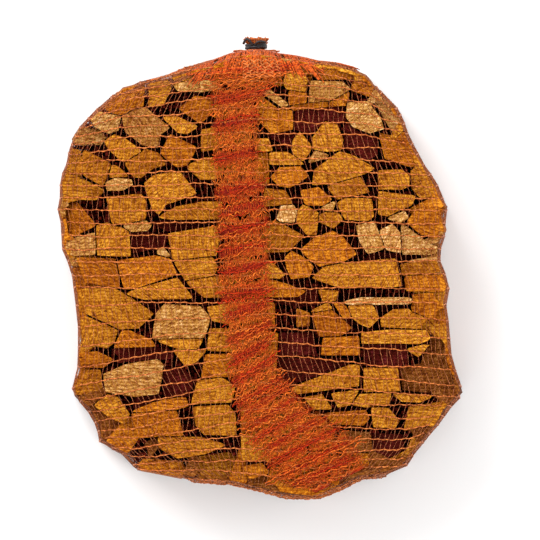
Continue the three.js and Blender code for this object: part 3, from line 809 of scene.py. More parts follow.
index = len(big)
for group, entries in SMALL_STICKS.items():
    name = f"small_sticks_{group:02d}"
    by_wood = {}
    for place_in_group, entry in enumerate(entries):
        surface = dressed(index, GROUP_SEED * group + place_in_group)
        by_wood.setdefault(WOOD_BY_LETTER[entry[2]].name, []).append(surface)
        index += 1
    for wood_name, surfaces in by_wood.items():
        points, quads, fans, numbers = join_pieces(surfaces)
        make_object(f"{name}_{wood_name}", points, [quads, fans], bpy.data.materials[wood_name],
                    "wood", [name], smooth=False, **numbers)
print("sticks built:", index)

# %% [markdown]
# ## Slivers
# The last hollows hold slivers.  Along the rim, rays are cast inward from the net to the
# first stick they meet, and a sliver fills each stretch of rays that finds room.  Inside,
# short dark splinters stand deep in every hollow that is wide enough for one.

# %% Rim slivers and splinters
RAYS = 420
RAY_DEPTH = np.arange(0.0, 34.0, 0.5)
LEAST_SLIVER = 0.8
SPLINTER_STEP = 3.2
LEAST_SPLINTER = 0.8


def covered(points):
    """Whether plan points lie on any stick."""
    hit = np.zeros(points.shape[:-1], bool)
    for corners, _ in crowns:
        hit |= inside_polygon(points, corners)
    return hit


def rim_slivers(seed):
    """Outlines of the slivers along the rim."""
    rng = np.random.default_rng(seed)
    angle = np.linspace(-np.pi, np.pi, RAYS, endpoint=False)
    unit = np.stack([np.cos(angle), np.sin(angle)], 1)
    outer = outline_radius(angle) - 2.8
    rays = unit[:, None] * (outer[:, None] - RAY_DEPTH)[..., None]
    hit = covered(rays)
    depth = np.where(hit.any(1), RAY_DEPTH[hit.argmax(1)], RAY_DEPTH[-1]) - 0.6
    slivers, k = [], 0
    while k < RAYS - 1:
        span = int(rng.integers(2, 8))
        part = slice(k, min(k + span, RAYS - 1) + 1)
        if (depth[part] > LEAST_SLIVER).all():
            far = unit[part] * (outer[part] - 0.2)[:, None]
            near = unit[part] * (outer[part] - depth[part])[:, None]
            outline = np.vstack([far, near[::-1]])
            slivers.append(outline.mean(0) + (outline - outline.mean(0)) * 0.97)
            k += span
        else:
            k += 1
    return slivers


def splinters(seed):
    """Small square outlines in the hollows, and how far each sits below the net."""
    rng = np.random.default_rng(seed)
    grid = np.stack(np.meshgrid(np.arange(-204, 206, SPLINTER_STEP),
                                np.arange(-222, 216, SPLINTER_STEP)), -1).reshape(-1, 2)
    inset = inset_of(grid)
    free = np.minimum(edge_gap(grid, np.vstack(every_edge)), inset - NET_ROOM + 1)
    kept = (free > LEAST_SPLINTER) & ~covered(grid)
    roomy = grid[kept]
    half = np.minimum(free[kept] - 0.2, SPLINTER_STEP / 2 - 0.15)
    square = np.array([(-1, -1), (1, -1), (1, 1), (-1, 1)]) * 0.92
    return roomy[:, None] + square * half[:, None, None], rng.uniform(14, 60, len(roomy))


rim_pieces = {"amber_wood": [], "tan_wood": [], "golden_wood": [], "painted_shade_wood": []}
# the last share is the dusky wood, painted shade; the lower rim gets most of it, for the shaded hollow
# there
RIM_SHARES = {"upper": [0.5, 0.2, 0.3, 0.0], "lower": [0.15, 0.15, 0.0, 0.7]}
LOWER_RIM = -112.0               # below this the rim's slivers are mostly dusky
RIM_FOOT, SPLINTER_FOOT = 3.4, 4.0        # height of their lower ends, mm
RIM_SEED, SPLINTER_SEED, SLIVER_SEED = 31, 32, 5000
rng = np.random.default_rng(RIM_SEED)
far_edge = np.full((1, 2, 2), 1e4)
for k, outline in enumerate(rim_slivers(RIM_SEED)):
    top = crown_height(outline).min() - NET_ROOM - rng.uniform(0.5, 7)
    zone = "lower" if outline[:, 1].mean() < LOWER_RIM else "upper"
    kind = rng.choice(list(rim_pieces), p=RIM_SHARES[zone])
    tops = np.full(len(outline), top)
    rim_pieces[kind].append(split_stick(outline, RIM_FOOT, tops, SLIVER_SEED + k, far_edge))
    crowns.append((outline, tilted_top(outline, tops)))
    every_edge.append(edges_of(outline))
for kind, surfaces in rim_pieces.items():
    points, quads, fans, numbers = join_pieces(surfaces)
    make_object(f"rim_slivers_{kind}", points, [quads, fans], bpy.data.materials[kind], "wood",
                smooth=False, **numbers)


def prisms(outlines, drops, seed):
    """Many small four-sided splinters at once: 8 corners and 6 faces each."""
    rng = np.random.default_rng(seed)
    count = len(outlines)
    crown = crown_height(outlines).min(1) - drops
    lean = rng.uniform(0, 3, (count, 4))
    low = place(outlines, np.full((count, 4), SPLINTER_FOOT))
    high = place(outlines, crown[:, None] - lean)
    points = np.stack([low, high], 1).reshape(-1, 3)
    cube = np.array([(3, 2, 1, 0), (4, 5, 6, 7), (0, 1, 5, 4), (1, 2, 6, 5), (2, 3, 7, 6),
                     (3, 0, 4, 7)])
    faces = (cube[None] + 8 * np.arange(count)[:, None, None]).reshape(-1, 4)
    tone = np.repeat(rng.uniform(0.2, 0.8, count), 8)
    return points, faces, dict(sawn=np.zeros(len(points)), ring=tone * 40, tone=tone)


outlines, drops = splinters(SPLINTER_SEED)
points, faces, numbers = prisms(outlines, drops, SPLINTER_SEED)
# the splinters get the near-black shaded wood: painted shade deep in the hollows
make_object("deep_splinters", points, [faces], DARK, "wood", smooth=False, **numbers)
print("rim slivers:", sum(map(len, rim_pieces.values())), "splinters:", len(outlines))

# %% [markdown]
# ## How the net lies
# A stretched net touches the highest ends and spans the hollows between them, the way a
# soap film spans a wire.  That rest height is found on a grid: every point takes the mean
# of its four neighbours again and again, but never sinks below the sticks under it.

# %% Net height over the stick ends
CELL = 3.0
GRID_X = np.arange(-219, 219 + CELL, CELL)
GRID_Y = np.arange(-237, 243 + CELL, CELL)
THREAD_LIFT = 1.0                # clearance of the net over the wood, mm
RELAX_STEPS = 160


def net_height_grid():
    """Highest stick under each grid point, then the relaxed net over them."""
    grid = np.stack(np.meshgrid(GRID_X, GRID_Y), -1)
    wood = np.full(grid.shape[:2], -np.inf)
    for corners, plane in crowns:
        over = inside_polygon(grid, corners)
        wood = np.where(over, np.maximum(wood, grid @ plane[:2] + plane[2]), wood)
    inset = inset_of(grid)
    ceiling = np.interp(inset, NET_INSET, NET_HEIGHT)
    net = ceiling - 2.0
    for _ in range(RELAX_STEPS):
        near = (np.roll(net, 1, 0) + np.roll(net, -1, 0)
                + np.roll(net, 1, 1) + np.roll(net, -1, 1)) / 4
        held_up = np.minimum(np.maximum(near, wood + THREAD_LIFT), ceiling)
        net = np.where(inset > 0, held_up, ceiling)
    return net


NET_GRID = net_height_grid()


def front_height(plan):
    """Height of the net over plan points, between the grid's points."""
    gx = np.clip((plan[..., 0] - GRID_X[0]) / CELL, 0, len(GRID_X) - 1.001)
    gy = np.clip((plan[..., 1] - GRID_Y[0]) / CELL, 0, len(GRID_Y) - 1.001)
    ix, iy = gx.astype(int), gy.astype(int)
    fx, fy = gx - ix, gy - iy
    low = NET_GRID[iy, ix] * (1 - fx) + NET_GRID[iy, ix + 1] * fx
    high = NET_GRID[iy + 1, ix] * (1 - fx) + NET_GRID[iy + 1, ix + 1] * fx
    return low * (1 - fy) + high * fy


print("net over the ends, mm:", NET_GRID.min().round(), "to", NET_GRID.max().round(1))

# %% [markdown]
# ## Threads
# Every thread of the net is a thin closed tube.  Its path is an array of points; a ring
# of a few points is set square to the path at each of them.

# %% Tube surface
def tube(path, radius, sides=4, closed=True, facing=(0.0, 0.0, 1.0)):
    """A tube along a path (n, 3) in mm: ring angle one way, path the other.

    At each point: centre + radius * (cos a * across + sin a * up), where `across` is
    square to both the path and `facing`, and `up` is square to the path and `across`.
    """
    count = len(path)
    if closed:
        ahead = np.roll(path, -1, 0) - np.roll(path, 1, 0)
    else:
        ahead = np.gradient(path, axis=0)
    ahead = ahead / np.maximum(np.linalg.norm(ahead, axis=1, keepdims=True), 1e-9)
    across = np.cross(ahead, np.broadcast_to(facing, path.shape))
    across = across / np.maximum(np.linalg.norm(across, axis=1, keepdims=True), 1e-9)
    up = np.cross(across, ahead)
    a = np.linspace(0, 2 * np.pi, sides, endpoint=False)
    radius = np.broadcast_to(radius, (count,))[:, None, None]
    spokes = np.cos(a)[:, None] * across[:, None] + np.sin(a)[:, None] * up[:, None]
    rings = path[:, None] + radius * spokes
    grid = np.arange(count * sides).reshape(count, sides)
    low = grid if closed else grid[:-1]
    high = np.roll(grid, -1, 0) if closed else grid[1:]
    quads = np.stack([low, high, np.roll(high, -1, 1), np.roll(low, -1, 1)], -1).reshape(-1, 4)
    points = rings.reshape(-1, 3)
    fans = np.empty((0, 3), int)
    if not closed:
        points = np.vstack([points, path[:1], path[-1:]])
        start, end = count * sides, count * sides + 1
        fans = np.concatenate([
            np.stack([grid[0], np.roll(grid[0], -1), np.full(sides, start)], -1),
            np.stack([np.roll(grid[-1], -1), grid[-1], np.full(sides, end)], -1)])
    return points * MM, quads, fans


def thread(path, radius, red=0.0, **how):
    """A tube with the numbers the net's material reads."""
    points, quads, fans = tube(path, radius, **how)
    return points, quads, fans, dict(red=np.full(len(points), red, float))


print("corners of a closed tube over three points:", len(thread(np.eye(3), 0.1)[0]))

# %% [markdown]
# ## The net's rows
# The sack is a knitted tube.  Each course of stitches is one loop around the bundle: over
# the stick ends, down one side, under the back and up again.  Courses run level across
# the middle, bend round to follow the shoulders near the neck, and droop at both sides in
# the lower part where the sack is fullest.

# %% Row paths
SIDE_TOP, SIDE_LOW = 168.0, 26.0
TOP_Y, BOTTOM_Y = 217.0, -225.0
NET_IN = 1.2                     # the net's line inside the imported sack's face, mm
STITCHES = 104
POINTS_PER_STITCH = 5
LOOP_POINTS = STITCHES * POINTS_PER_STITCH
BACK_INSET = np.array([0, 1.2, 2.4])      # the net turns under outside the lowest wood
BACK_HEIGHT = np.array([26, 5.0, 0.95])
SPAN_X = np.linspace(-210, 210, 561)
DROOP_LEFT, DROOP_RIGHT = 34, 15          # how far the lower courses sag at the sides, mm
DROOP_FROM = 10                  # the plan x that the sagging starts from on either side


def outline_ends(x, reach=5.0):
    """Highest and lowest y of the outline near each x."""
    near = np.abs(EDGE[None, :, 0] - x[:, None]) < reach
    top = np.where(near, EDGE[None, :, 1], -np.inf).max(1)
    low = np.where(near, EDGE[None, :, 1], np.inf).min(1)
    return np.where(np.isfinite(top), top, 0), np.where(np.isfinite(low), low, 0)


SPAN_TOP, SPAN_LOW = outline_ends(SPAN_X)


def row_y(x, level):
    """Height up the bundle of a course at each x; level runs from -1 to 1."""
    top, low = np.interp(x, SPAN_X, SPAN_TOP), np.interp(x, SPAN_X, SPAN_LOW)
    size = abs(level)
    if level >= 0:
        return TOP_Y * size - (TOP_Y - top) * size ** 4
    droop = np.clip((size - 0.12) / 0.3, 0, 1) * (1 - size ** 6)
    left, right = np.clip(DROOP_FROM - x, 0, None), np.clip(x - DROOP_FROM, 0, None)
    side = DROOP_LEFT * (left / 180) ** 1.3 + DROOP_RIGHT * right / 140
    return BOTTOM_Y * size + (low - BOTTOM_Y) * size ** 4 - droop * side


def loop_through(front, back):
    """Joins a front line and a back line by the two sides and spaces the points evenly."""
    drop = np.linspace(SIDE_TOP, SIDE_LOW, 30)[1:-1]
    right = np.column_stack([np.tile(front[-1, :2], (len(drop), 1)), drop])
    left = np.column_stack([np.tile(front[0, :2], (len(drop), 1)), drop[::-1]])
    whole = np.vstack([front, right, back, left])
    whole[:, :2] *= spread(whole[:, 2])[:, None]
    middle = len(front) // 2
    whole = np.roll(whole, -middle, axis=0)
    whole = np.vstack([whole, whole[:1]])
    run = np.concatenate([[0], np.cumsum(np.linalg.norm(np.diff(whole, axis=0), axis=1))])
    at = np.linspace(0, run[-1], LOOP_POINTS, endpoint=False)
    return np.stack([np.interp(at, run, whole[:, k]) for k in range(3)], 1)


def row_loop(level):
    """The closed path of one course."""
    y = row_y(SPAN_X, level)
    line = np.stack([SPAN_X, y], 1)
    kept = line[inset_of(line) > NET_IN]
    heights = np.maximum(front_height(kept), SIDE_TOP)
    under = np.interp(inset_of(kept), BACK_INSET, BACK_HEIGHT)
    return loop_through(np.column_stack([kept, heights]), np.column_stack([kept, under])[::-1])


def outward(path):
    """Direction away from the bundle's long middle line, used to face the threads."""
    away = path - np.array([0, 0, DEPTH / 2])
    away = away * [1.0, 0.0, 1.6]
    away[:, 1] = np.sign(path[:, 1]) * np.clip(np.abs(path[:, 1]) - 150, 0, None) * 0.6
    return away / np.linalg.norm(away, axis=1, keepdims=True)


ROW_LEVELS = np.concatenate([-np.linspace(0.985, 0.03, 17), np.linspace(0.03, 0.985, 17)])
rows = [row_loop(level) for level in ROW_LEVELS]
girth = max(np.linalg.norm(row - np.roll(row, 1, 0), axis=1).sum() for row in rows)
print("courses:", len(rows), "points each:", LOOP_POINTS, "greatest girth, mm:", round(girth))

# %% [markdown]
# ## Closing the ends
# Below, the last course is drawn together into a flat seam.  Above, the courses are drawn
# in round the neck until the tie holds them.

# %% End loops
NECK_X = NECK_IN_PLAN[0]
NECK_RADII = np.array([9, 20, 50, 80, 88.0])
NECK_Y = np.array([217.5, 213, 206, 196, 150.0])
NECK_SHRINK = (0.82, 0.65, 0.5, 0.37, 0.26, 0.17, 0.11)
SEAM_SHRINK = (0.8, 0.58, 0.36, 0.16, 0.03)


def end_wall(x, z, span=SPAN_TOP):
    """Where an end of the pile stands over x and height z: wider apart near its foot."""
    return np.interp(x / spread(z), SPAN_X, span) * spread(z)


def neck_cone(x, z):
    """How far out the net's cone stands round the neck."""
    return np.interp(np.hypot(x - NECK_X, z - NECK_Z), NECK_RADII, NECK_Y)


def neck_loop(edge, share):
    """The top course drawn in to a share of its size and laid over the end of the bundle."""
    x = NECK_X + share * (edge[:, 0] - NECK_X)
    z = NECK_Z + share * (edge[:, 2] - NECK_Z)
    return np.stack([x, np.maximum(end_wall(x, z) - 1, neck_cone(x, z)), z], 1)


def seam_loop(edge, share):
    """The bottom course flattened towards the seam."""
    x = edge[:, 0] * (0.8 + 0.2 * share)
    z = DEPTH / 2 + share * (edge[:, 2] - DEPTH / 2)
    return np.stack([x, end_wall(x, z, SPAN_LOW) + NET_IN, z], 1)


rows = ([seam_loop(rows[0], s) for s in SEAM_SHRINK[::-1]] + rows
        + [neck_loop(rows[-1], s) for s in NECK_SHRINK])
print("loops with both ends closed:", len(rows))

# %% [markdown]
# ## Chain and inlay
# Two kinds of thread make this net.  The chain, a line of small loops, follows each
# course and is thick; the inlay runs zigzag between two courses and is thin.  Where the
# inlay hooks into the chain it pulls the chain a little out of line.

# %% Net threads
CHAIN_RADIUS, INLAY_RADIUS = 0.58, 0.32
CHAIN_WAVE = 0.42
ROW_WANDER = 1.9
LEG_LEAN = 0.3                   # how far a leg of the inlay leans, in half stitches
CHAIN_SEED, BEAD_SEED, INLAY_SEED = 40, 70, 300
phase = np.arange(LOOP_POINTS) / POINTS_PER_STITCH * 2 * np.pi


def chain_path(path, seed):
    """A course with its stitch-by-stitch wave and a slow wander."""
    at = np.arange(LOOP_POINTS) / LOOP_POINTS * 2 * np.pi
    sharp = np.sign(np.cos(phase)) * np.abs(np.cos(phase)) ** 1.6
    shift = CHAIN_WAVE * sharp + ROW_WANDER * wobble(4 * np.sin(at), seed, base=1.6)
    moved = path.copy()
    moved[:, 1] += shift * np.clip((218 - path[:, 1]) / 14, 0.12, 1)
    return moved


def chain_thickness(seed):
    """Chain radius: one bead per stitch, thinner where the net is stretched."""
    bead = 1 + 0.22 * np.cos(2 * phase)
    slow = 1 + 0.25 * wobble(np.sin(np.arange(LOOP_POINTS) / LOOP_POINTS * 2 * np.pi) * 4, seed)
    return CHAIN_RADIUS * bead * slow


def inlay_path(low, high, seed):
    """Nearly upright legs between two courses, joined by short steps along the chains."""
    rng = np.random.default_rng(seed)
    legs = 2 * STITCHES
    steps = 3
    t = np.tile(np.linspace(0, 1, steps), legs)
    leg = np.repeat(np.arange(legs), steps)
    share = np.where(leg % 2 == 0, t, 1 - t)
    place_along = leg + LEG_LEAN * t + np.repeat(rng.normal(0, 0.12, legs), steps)
    at = place_along / legs * LOOP_POINTS
    index = np.floor(at).astype(int)
    blend = (at - index)[:, None]
    on_low = low[index % LOOP_POINTS] * (1 - blend) + low[(index + 1) % LOOP_POINTS] * blend
    on_high = high[index % LOOP_POINTS] * (1 - blend) + high[(index + 1) % LOOP_POINTS] * blend
    path = on_low * (1 - share[:, None]) + on_high * share[:, None]
    plan = path[:, :2] / spread(path[:, 2])[:, None]
    over = (path[:, 2] > SIDE_TOP + 1) & (inset_of(plan) > 2)
    path[:, 2] = np.where(over, np.maximum(path[:, 2], front_height(plan) - 0.2), path[:, 2])
    return path


def to_frame(path):
    """Moves a path from the pile's zero point to the frame's, in mm."""
    return path + np.array([*PLAN_ZERO, 0])


def laid_path(plan, height):
    """A path over plan points at given heights, in the frame's mm."""
    path = np.column_stack([plan, height])
    path[:, :2] *= spread(height)[:, None]
    return to_frame(path)


chains, inlays = [], []
laid = [chain_path(row, CHAIN_SEED + k) for k, row in enumerate(rows)]
for k, row in enumerate(laid):
    beads = chain_thickness(BEAD_SEED + k)
    chains.append(thread(to_frame(row), beads, facing=outward(row)))
for k, (low, high) in enumerate(zip(laid[:-1], laid[1:])):
    path = inlay_path(low, high, INLAY_SEED + k)
    inlays.append(thread(to_frame(path), INLAY_RADIUS, sides=3, facing=outward(path)))
print("chain loops:", len(chains), "inlay threads:", len(inlays))

# %% [markdown]
# ## Knitted tape
# The threads are thin plastic tape: orange with a soft pink shine, deeper red where they
# lie several deep.  The mesh number `red` says how deep, and a fine noise breaks the
# colour up into the stitches of the chain, painted darker between the loops and with a
# whitish painted highlight on them; that painted highlight gives much of the pink shine.

# %% Net group and materials
def tape_group():
    """Colour between orange, red and maroon with painted stitch shade and highlights, and a mask of
    stitches along the thread.
    """
    tree, given, out = new_group(
        "knitted tape",
        {"Light": (COLOUR, (0.9, 0.3, 0.1, 1)), "Deep": (COLOUR, (0.4, 0.03, 0.01, 1))},
        {"Color": COLOUR, "Stitch": FLOAT})
    at = object_point(tree)
    fine, slow = noise(tree, at, 520.0, 3.0), noise(tree, at, 34.0, 2.0)
    vary = maths(tree, "MULTIPLY_ADD", slow, 0.9, -0.4)
    depth = maths(tree, "ADD", attribute(tree, "red"), vary, clamp=True)
    colour = mix(tree, depth, given["Light"], given["Deep"])
    # the stitch tints are painted light and shade: darker between the loops, a whitish painted highlight
    # on them
    stitch = ramp(tree, fine, [(0.36, (0.4, 0.3, 0.3)), (0.52, (1, 1, 1)), (0.66, (1.6, 1.8, 1.8))])
    tree.links.new(mix(tree, 1.0, colour, stitch, "MULTIPLY"), out["Color"])
    tree.links.new(fine, out["Stitch"])
    return tree


TAPE = tape_group()


def net_material(name, light, deep, cover=1.0, roughness=0.45):
    """One kind of tape; cover is how much of the light it stops."""
    material, tree, surface = new_material(name, roughness, specular=0.12)
    group = add_node(tree, "ShaderNodeGroup", node_tree=TAPE)
    group.inputs["Light"].default_value = (*light, 1)
    group.inputs["Deep"].default_value = (*deep, 1)
    finish_surface(tree, surface, group.outputs["Color"], group.outputs["Stitch"], 0.6, 0.0003)
    surface["Alpha"].default_value = cover
    return material


CHAIN_TAPE = net_material("chain_tape", (0.52, 0.145, 0.034), (0.40, 0.045, 0.006))
INLAY_TAPE = net_material("inlay_tape", (0.44, 0.14, 0.055), (0.30, 0.05, 0.02), 0.6)
FOLD_TAPE = net_material("fold_tape", (0.60, 0.125, 0.012), (0.40, 0.018, 0.001))


def make_threads(name, threads, material, slot="net", node="net_sack"):
    """Joins threads into one piece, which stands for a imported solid."""
    points, quads, fans, numbers = join_pieces(threads)
    print(name, "triangles:", 2 * len(quads) + len(fans))
    faces = [quads, fans] if len(fans) else [quads]
    return make_object(name, points, faces, material, slot, [node], **numbers)


make_threads("net_chains", chains, CHAIN_TAPE)
make_threads("net_inlay", inlays, INLAY_TAPE)

# %% [markdown]
# ## The fold down the front
# The sack is wider than its load.  The spare net lies folded in one long strip from the
# neck to the lower corner, so several layers of thread cross there: bands where they
# gather are deep red, and between them the strip stays open.  It is laid out in its own
# coordinates, `v` along the strip and `u` across it.

# %% Fold strip
FOLD_LEFT = np.array([(-60, 201), (-54, 184), (-50, 160), (-50, 124), (-50, 92), (-47, 54),
                      (-45, 14), (-44, -26), (-38, -66), (-34, -98), (-30, -128), (-24, -153),
                      (-13, -176), (0, -197), (14, -218), (50, -228)], float)
FOLD_RIGHT = np.array([(46, 207), (20, 192), (0, 168), (-3, 136), (0, 104), (8, 66), (8, 26),
                       (10, -14), (11, -46), (12, -72), (17, -100), (30, -117), (50, -138),
                       (75, -156), (98, -174), (107, -199)], float)
FOLD_LENGTH = 470.0              # along its middle line, mm
RED_BANDS = np.array([201, 172, 148, 114, 80, 60, 40, 20, 0, -24, -42, -64, -84, -104], float)
FOLD_SEED, ZIGZAG_SEED = 900, 2000
COURSE_POINTS = 46               # points along one thread across the strip
ZIGZAG_LEGS, ZIGZAG_RADIUS = 22, 0.36
ZIGZAGS, ZIGZAG_REACH = 44, 0.024         # how many, and how far along the strip each goes


def fold_point(u, v):
    """Plan point of the strip from its across (u) and along (v) shares."""
    at = v * (len(FOLD_LEFT) - 1)
    stations = np.arange(len(FOLD_LEFT))
    left = np.stack([np.interp(at, stations, FOLD_LEFT[:, k]) for k in (0, 1)], -1)
    right = np.stack([np.interp(at, stations, FOLD_RIGHT[:, k]) for k in (0, 1)], -1)
    return left * (1 - u)[..., None] + right * u[..., None]


def band_share(v):
    """How deep in a red band a place along the strip is: 1 in its middle, 0 between."""
    y = fold_point(np.full_like(v, 0.5), v)[..., 1]
    near = np.abs(y[..., None] - RED_BANDS).min(-1)
    lower = np.clip((-y - 105) / 20, 0, 1)
    stripes = (0.5 + 0.5 * np.sin(y * 0.55)) ** 1.5
    return np.maximum(np.exp(-(near / 5.0) ** 2), 0.8 * lower * stripes)


def fold_course(v, layer, seed):
    """One thread across the strip, with loops pulled up and down at random."""
    rng = np.random.default_rng(seed)
    start, stop = rng.uniform(-0.09, 0.12), rng.uniform(0.86, 1.12)
    u = np.linspace(start, stop, COURSE_POINTS)
    open_share = 1 - float(band_share(np.array([v]))[0])
    loops = (0.25 + 1.5 * open_share) * np.sin(u * rng.uniform(34, 56) + rng.uniform(0, 6.3))
    slow = 3.2 * wobble(u * 3, seed + 7) + rng.normal(0, 6) * (u - 0.5)
    along = v + (loops + slow) / FOLD_LENGTH
    plan = fold_point(u, np.clip(along, 0, 1))
    lift = 0.7 + 0.75 * layer + 0.4 * rng.random(COURSE_POINTS)
    return laid_path(plan, front_height(plan) + lift)


def fold_threads():
    """Threads across the strip, closer together inside the red bands."""
    rng = np.random.default_rng(FOLD_SEED)
    threads, v, layer = [], 0.012, 0
    while v < 0.99:
        deep = float(band_share(np.array([v]))[0])
        path = fold_course(v, layer % 3, int(rng.integers(1, 10 ** 6)))
        red = np.clip(0.1 + 0.8 * deep + rng.normal(0, 0.28), -0.35, 1.2)
        threads.append(thread(path, rng.uniform(0.3, 0.62), red, closed=False))
        v += (rng.uniform(1.0, 2.4) + 3.2 * (1 - deep)) / FOLD_LENGTH
        layer += 1
    return threads


def fold_zigzag(v_low, v_high, seed):
    """A zigzag thread of the strip between two places along it."""
    rng = np.random.default_rng(seed)
    u = np.linspace(rng.uniform(0, 0.12), rng.uniform(0.88, 1), ZIGZAG_LEGS * 3 + 1)
    swing = np.abs((u * ZIGZAG_LEGS / 2) % 1 * 2 - 1)
    v = v_low + (v_high - v_low) * swing + rng.normal(0, 0.6, len(u)) / FOLD_LENGTH
    plan = fold_point(u, np.clip(v, 0, 1))
    height = front_height(plan) + 1.0 + 0.9 * rng.random(len(u))
    return laid_path(plan, height)


print("fold length, mm:", FOLD_LENGTH, "red bands:", len(RED_BANDS))

# %% [markdown]
# ### The film between the threads
# Threads too fine to make one by one fill the space between the others.  They are one thin
# closed sheet that hugs the net, with a material that is open where its noise is low.

# %% Fold film
MOST_COVER = 0.84                # the film never hides all that lies under it


def gauze_material():
    """Fine film between the threads: red where it is gathered, open in between."""
    material, tree, surface = new_material("fold_gauze", 0.6, 0.1)
    red = attribute(tree, "red")
    along = add_node(tree, "ShaderNodeCombineXYZ", {"X": attribute(tree, "across"),
                                                    "Y": attribute(tree, "along")}).outputs[0]
    fine, holes = noise(tree, along, 1.0, 5.0, 0.7), noise(tree, along, 0.45, 3.0)
    depth = maths(tree, "ADD", maths(tree, "MULTIPLY", red, 0.55),
                  maths(tree, "MULTIPLY", maths(tree, "SUBTRACT", fine, 0.34), 2.2))
    colour = ramp(tree, depth, [(0.05, (0.60, 0.19, 0.012)), (0.35, (0.55, 0.09, 0.005)),
                                (0.65, (0.42, 0.022, 0.001)), (1.0, (0.16, 0.004, 0.001))])
    tree.links.new(colour, surface["Base Color"])
    cover = maths(tree, "ADD", maths(tree, "MULTIPLY", red, 0.5),
                  maths(tree, "MULTIPLY", maths(tree, "SUBTRACT", holes, 0.42), 3.0))
    cover = maths(tree, "MULTIPLY", cover, attribute(tree, "edge"))
    clamped = add_node(tree, "ShaderNodeClamp", {"Value": cover, "Min": 0.0, "Max": MOST_COVER})
    tree.links.new(clamped.outputs[0], surface["Alpha"])
    return material


GAUZE = gauze_material()
GAUZE_U, GAUZE_V, GAUZE_THICK = 40, 320, 0.3


def gauze():
    """A closed thin sheet along the strip: grid (u, v), a top face and an under face."""
    u, v = np.meshgrid(np.linspace(0.01, 0.99, GAUZE_U), np.linspace(0.0, 1.0, GAUZE_V))
    edge = 0.035 * wobble(v * 40, FOLD_SEED + 1) * (2 * u - 1)
    plan = fold_point(u + edge, v)
    under = front_height(plan) + 0.05
    points = np.concatenate([place(plan, under + GAUZE_THICK).reshape(-1, 3),
                             place(plan, under).reshape(-1, 3)])
    top = np.arange(GAUZE_U * GAUZE_V).reshape(GAUZE_V, GAUZE_U)
    low = top + top.size
    cells = np.stack([top[:-1, :-1], top[1:, :-1], top[1:, 1:], top[:-1, 1:]], -1).reshape(-1, 4)
    rim_line = np.concatenate([top[0, :-1], top[:-1, -1], top[-1, :0:-1], top[:0:-1, 0]])
    following = np.roll(rim_line, -1)
    sides = np.stack([rim_line, following, following + top.size, rim_line + top.size], -1)
    faces = np.concatenate([cells, cells[:, ::-1] + top.size, sides])
    first, second, _, fourth = points[cells[0]]
    if np.cross(second - first, fourth - first)[2] < 0:
        faces = faces[:, ::-1]
    numbers = dict(red=np.tile(band_share(v).ravel(), 2), across=np.tile((u * 14).ravel(), 2),
                   along=np.tile((v * FOLD_LENGTH / 2.2).ravel(), 2),
                   edge=np.tile(np.clip(np.minimum(u, 1 - u) / 0.2, 0, 1).ravel(), 2))
    return points, faces, numbers


points, faces, numbers = gauze()
made = make_object("net_fold_gauze", points, [faces], GAUZE, "net", ["net_sack"], **numbers)
outline = np.vstack([FOLD_LEFT, FOLD_RIGHT[::-1]])
fold = fold_threads()
for k in range(ZIGZAGS):
    low = 0.01 + k / (ZIGZAGS + 1)
    red = 0.25 + 0.5 * float(band_share(np.array([low]))[0])
    path = fold_zigzag(low, low + ZIGZAG_REACH, ZIGZAG_SEED + k)
    fold.append(thread(path, ZIGZAG_RADIUS, red, closed=False, sides=3))
make_threads("net_fold", fold, FOLD_TAPE)
print("threads in the fold:", len(fold))

# %% [markdown]
# ## The neck
# At the neck the whole net is drawn through a few turns of black twine.  Beyond the twine
# it springs out again in a short ragged tuft of cut loops.

# %% Neck and tuft
TIE_Y = NECK_IN_PLAN[1]
# the frill's rings as (y, radius), from the end of the bundle through the tie to the mouth
RUFF = [(214.2, 17.0), (215.4, 20.0), (216.6, 23.0), (215.6, 9.5), (217.2, 8.2), (219.0, 7.4),
        (221.5, 7.2), (224.0, 7.6), (225.8, 9.0), (227.4, 10.6), (228.8, 11.6)]
RUFF_WAVES, RUFF_HEIGHT, RUFF_RADIUS = 9, 0.7, 0.75
TUFT_LOOPS, TUFT_RADIUS, TUFT_SEED = 46, 0.5, 500
# the threads' flat sides face out of the sack's mouth or to the front
MOUTHWARD, FRONTWARD = (0.0, 1.0, 0.0), (0.3, 0.0, 1.0)


def ruff_loop(y, radius, waves, height, seed):
    """A frilled ring round the neck: radius and y both ripple."""
    a = np.linspace(0, 2 * np.pi, 120, endpoint=False)
    ripple = np.sin(waves * a + seed)
    r = radius * (1 + 0.12 * wobble(np.sin(a) * 2, seed)) + 0.8 * ripple
    x = NECK_X + r * np.cos(a)
    z = NECK_Z + r * np.sin(a)
    return np.stack([x, y + height * ripple * wobble(np.cos(a) * 2 + seed, seed + 1), z], 1)


def tuft_strand(seed):
    """A cut loop: out through the tie, up to a bend, and back."""
    rng = np.random.default_rng(seed)
    turn = rng.uniform(0, 2 * np.pi)
    t = np.linspace(0, 1, 15)
    rise = rng.uniform(4.0, 9.5)
    flare = rng.uniform(1.0, 9.0)
    arch = np.sin(np.pi * t)
    r = rng.uniform(3.0, 7.5) + flare * arch
    a = turn + (t - 0.5) * rng.uniform(0.1, 0.6)
    y = TIE_Y - 4 + (4 + rise) * arch ** 0.8
    return np.stack([NECK_X + r * np.cos(a), y, NECK_Z + r * np.sin(a)], 1)


ruffs = [ruff_loop(y, r, RUFF_WAVES, RUFF_HEIGHT, k) for k, (y, r) in enumerate(RUFF)]
tuft = [tuft_strand(TUFT_SEED + k) for k in range(TUFT_LOOPS)]
neck = [thread(to_frame(path), RUFF_RADIUS, red=0.3, facing=MOUTHWARD) for path in ruffs]
neck += [thread(to_frame(path), TUFT_RADIUS, red=0.1, closed=False, facing=FRONTWARD)
         for path in tuft]
make_threads("net_neck", neck, CHAIN_TAPE)

# %% [markdown]
# ### The gathers
# From the last courses the net is drawn in towards the tie.  Some threads come up over the
# front edge of the bundle, others lie on its end.

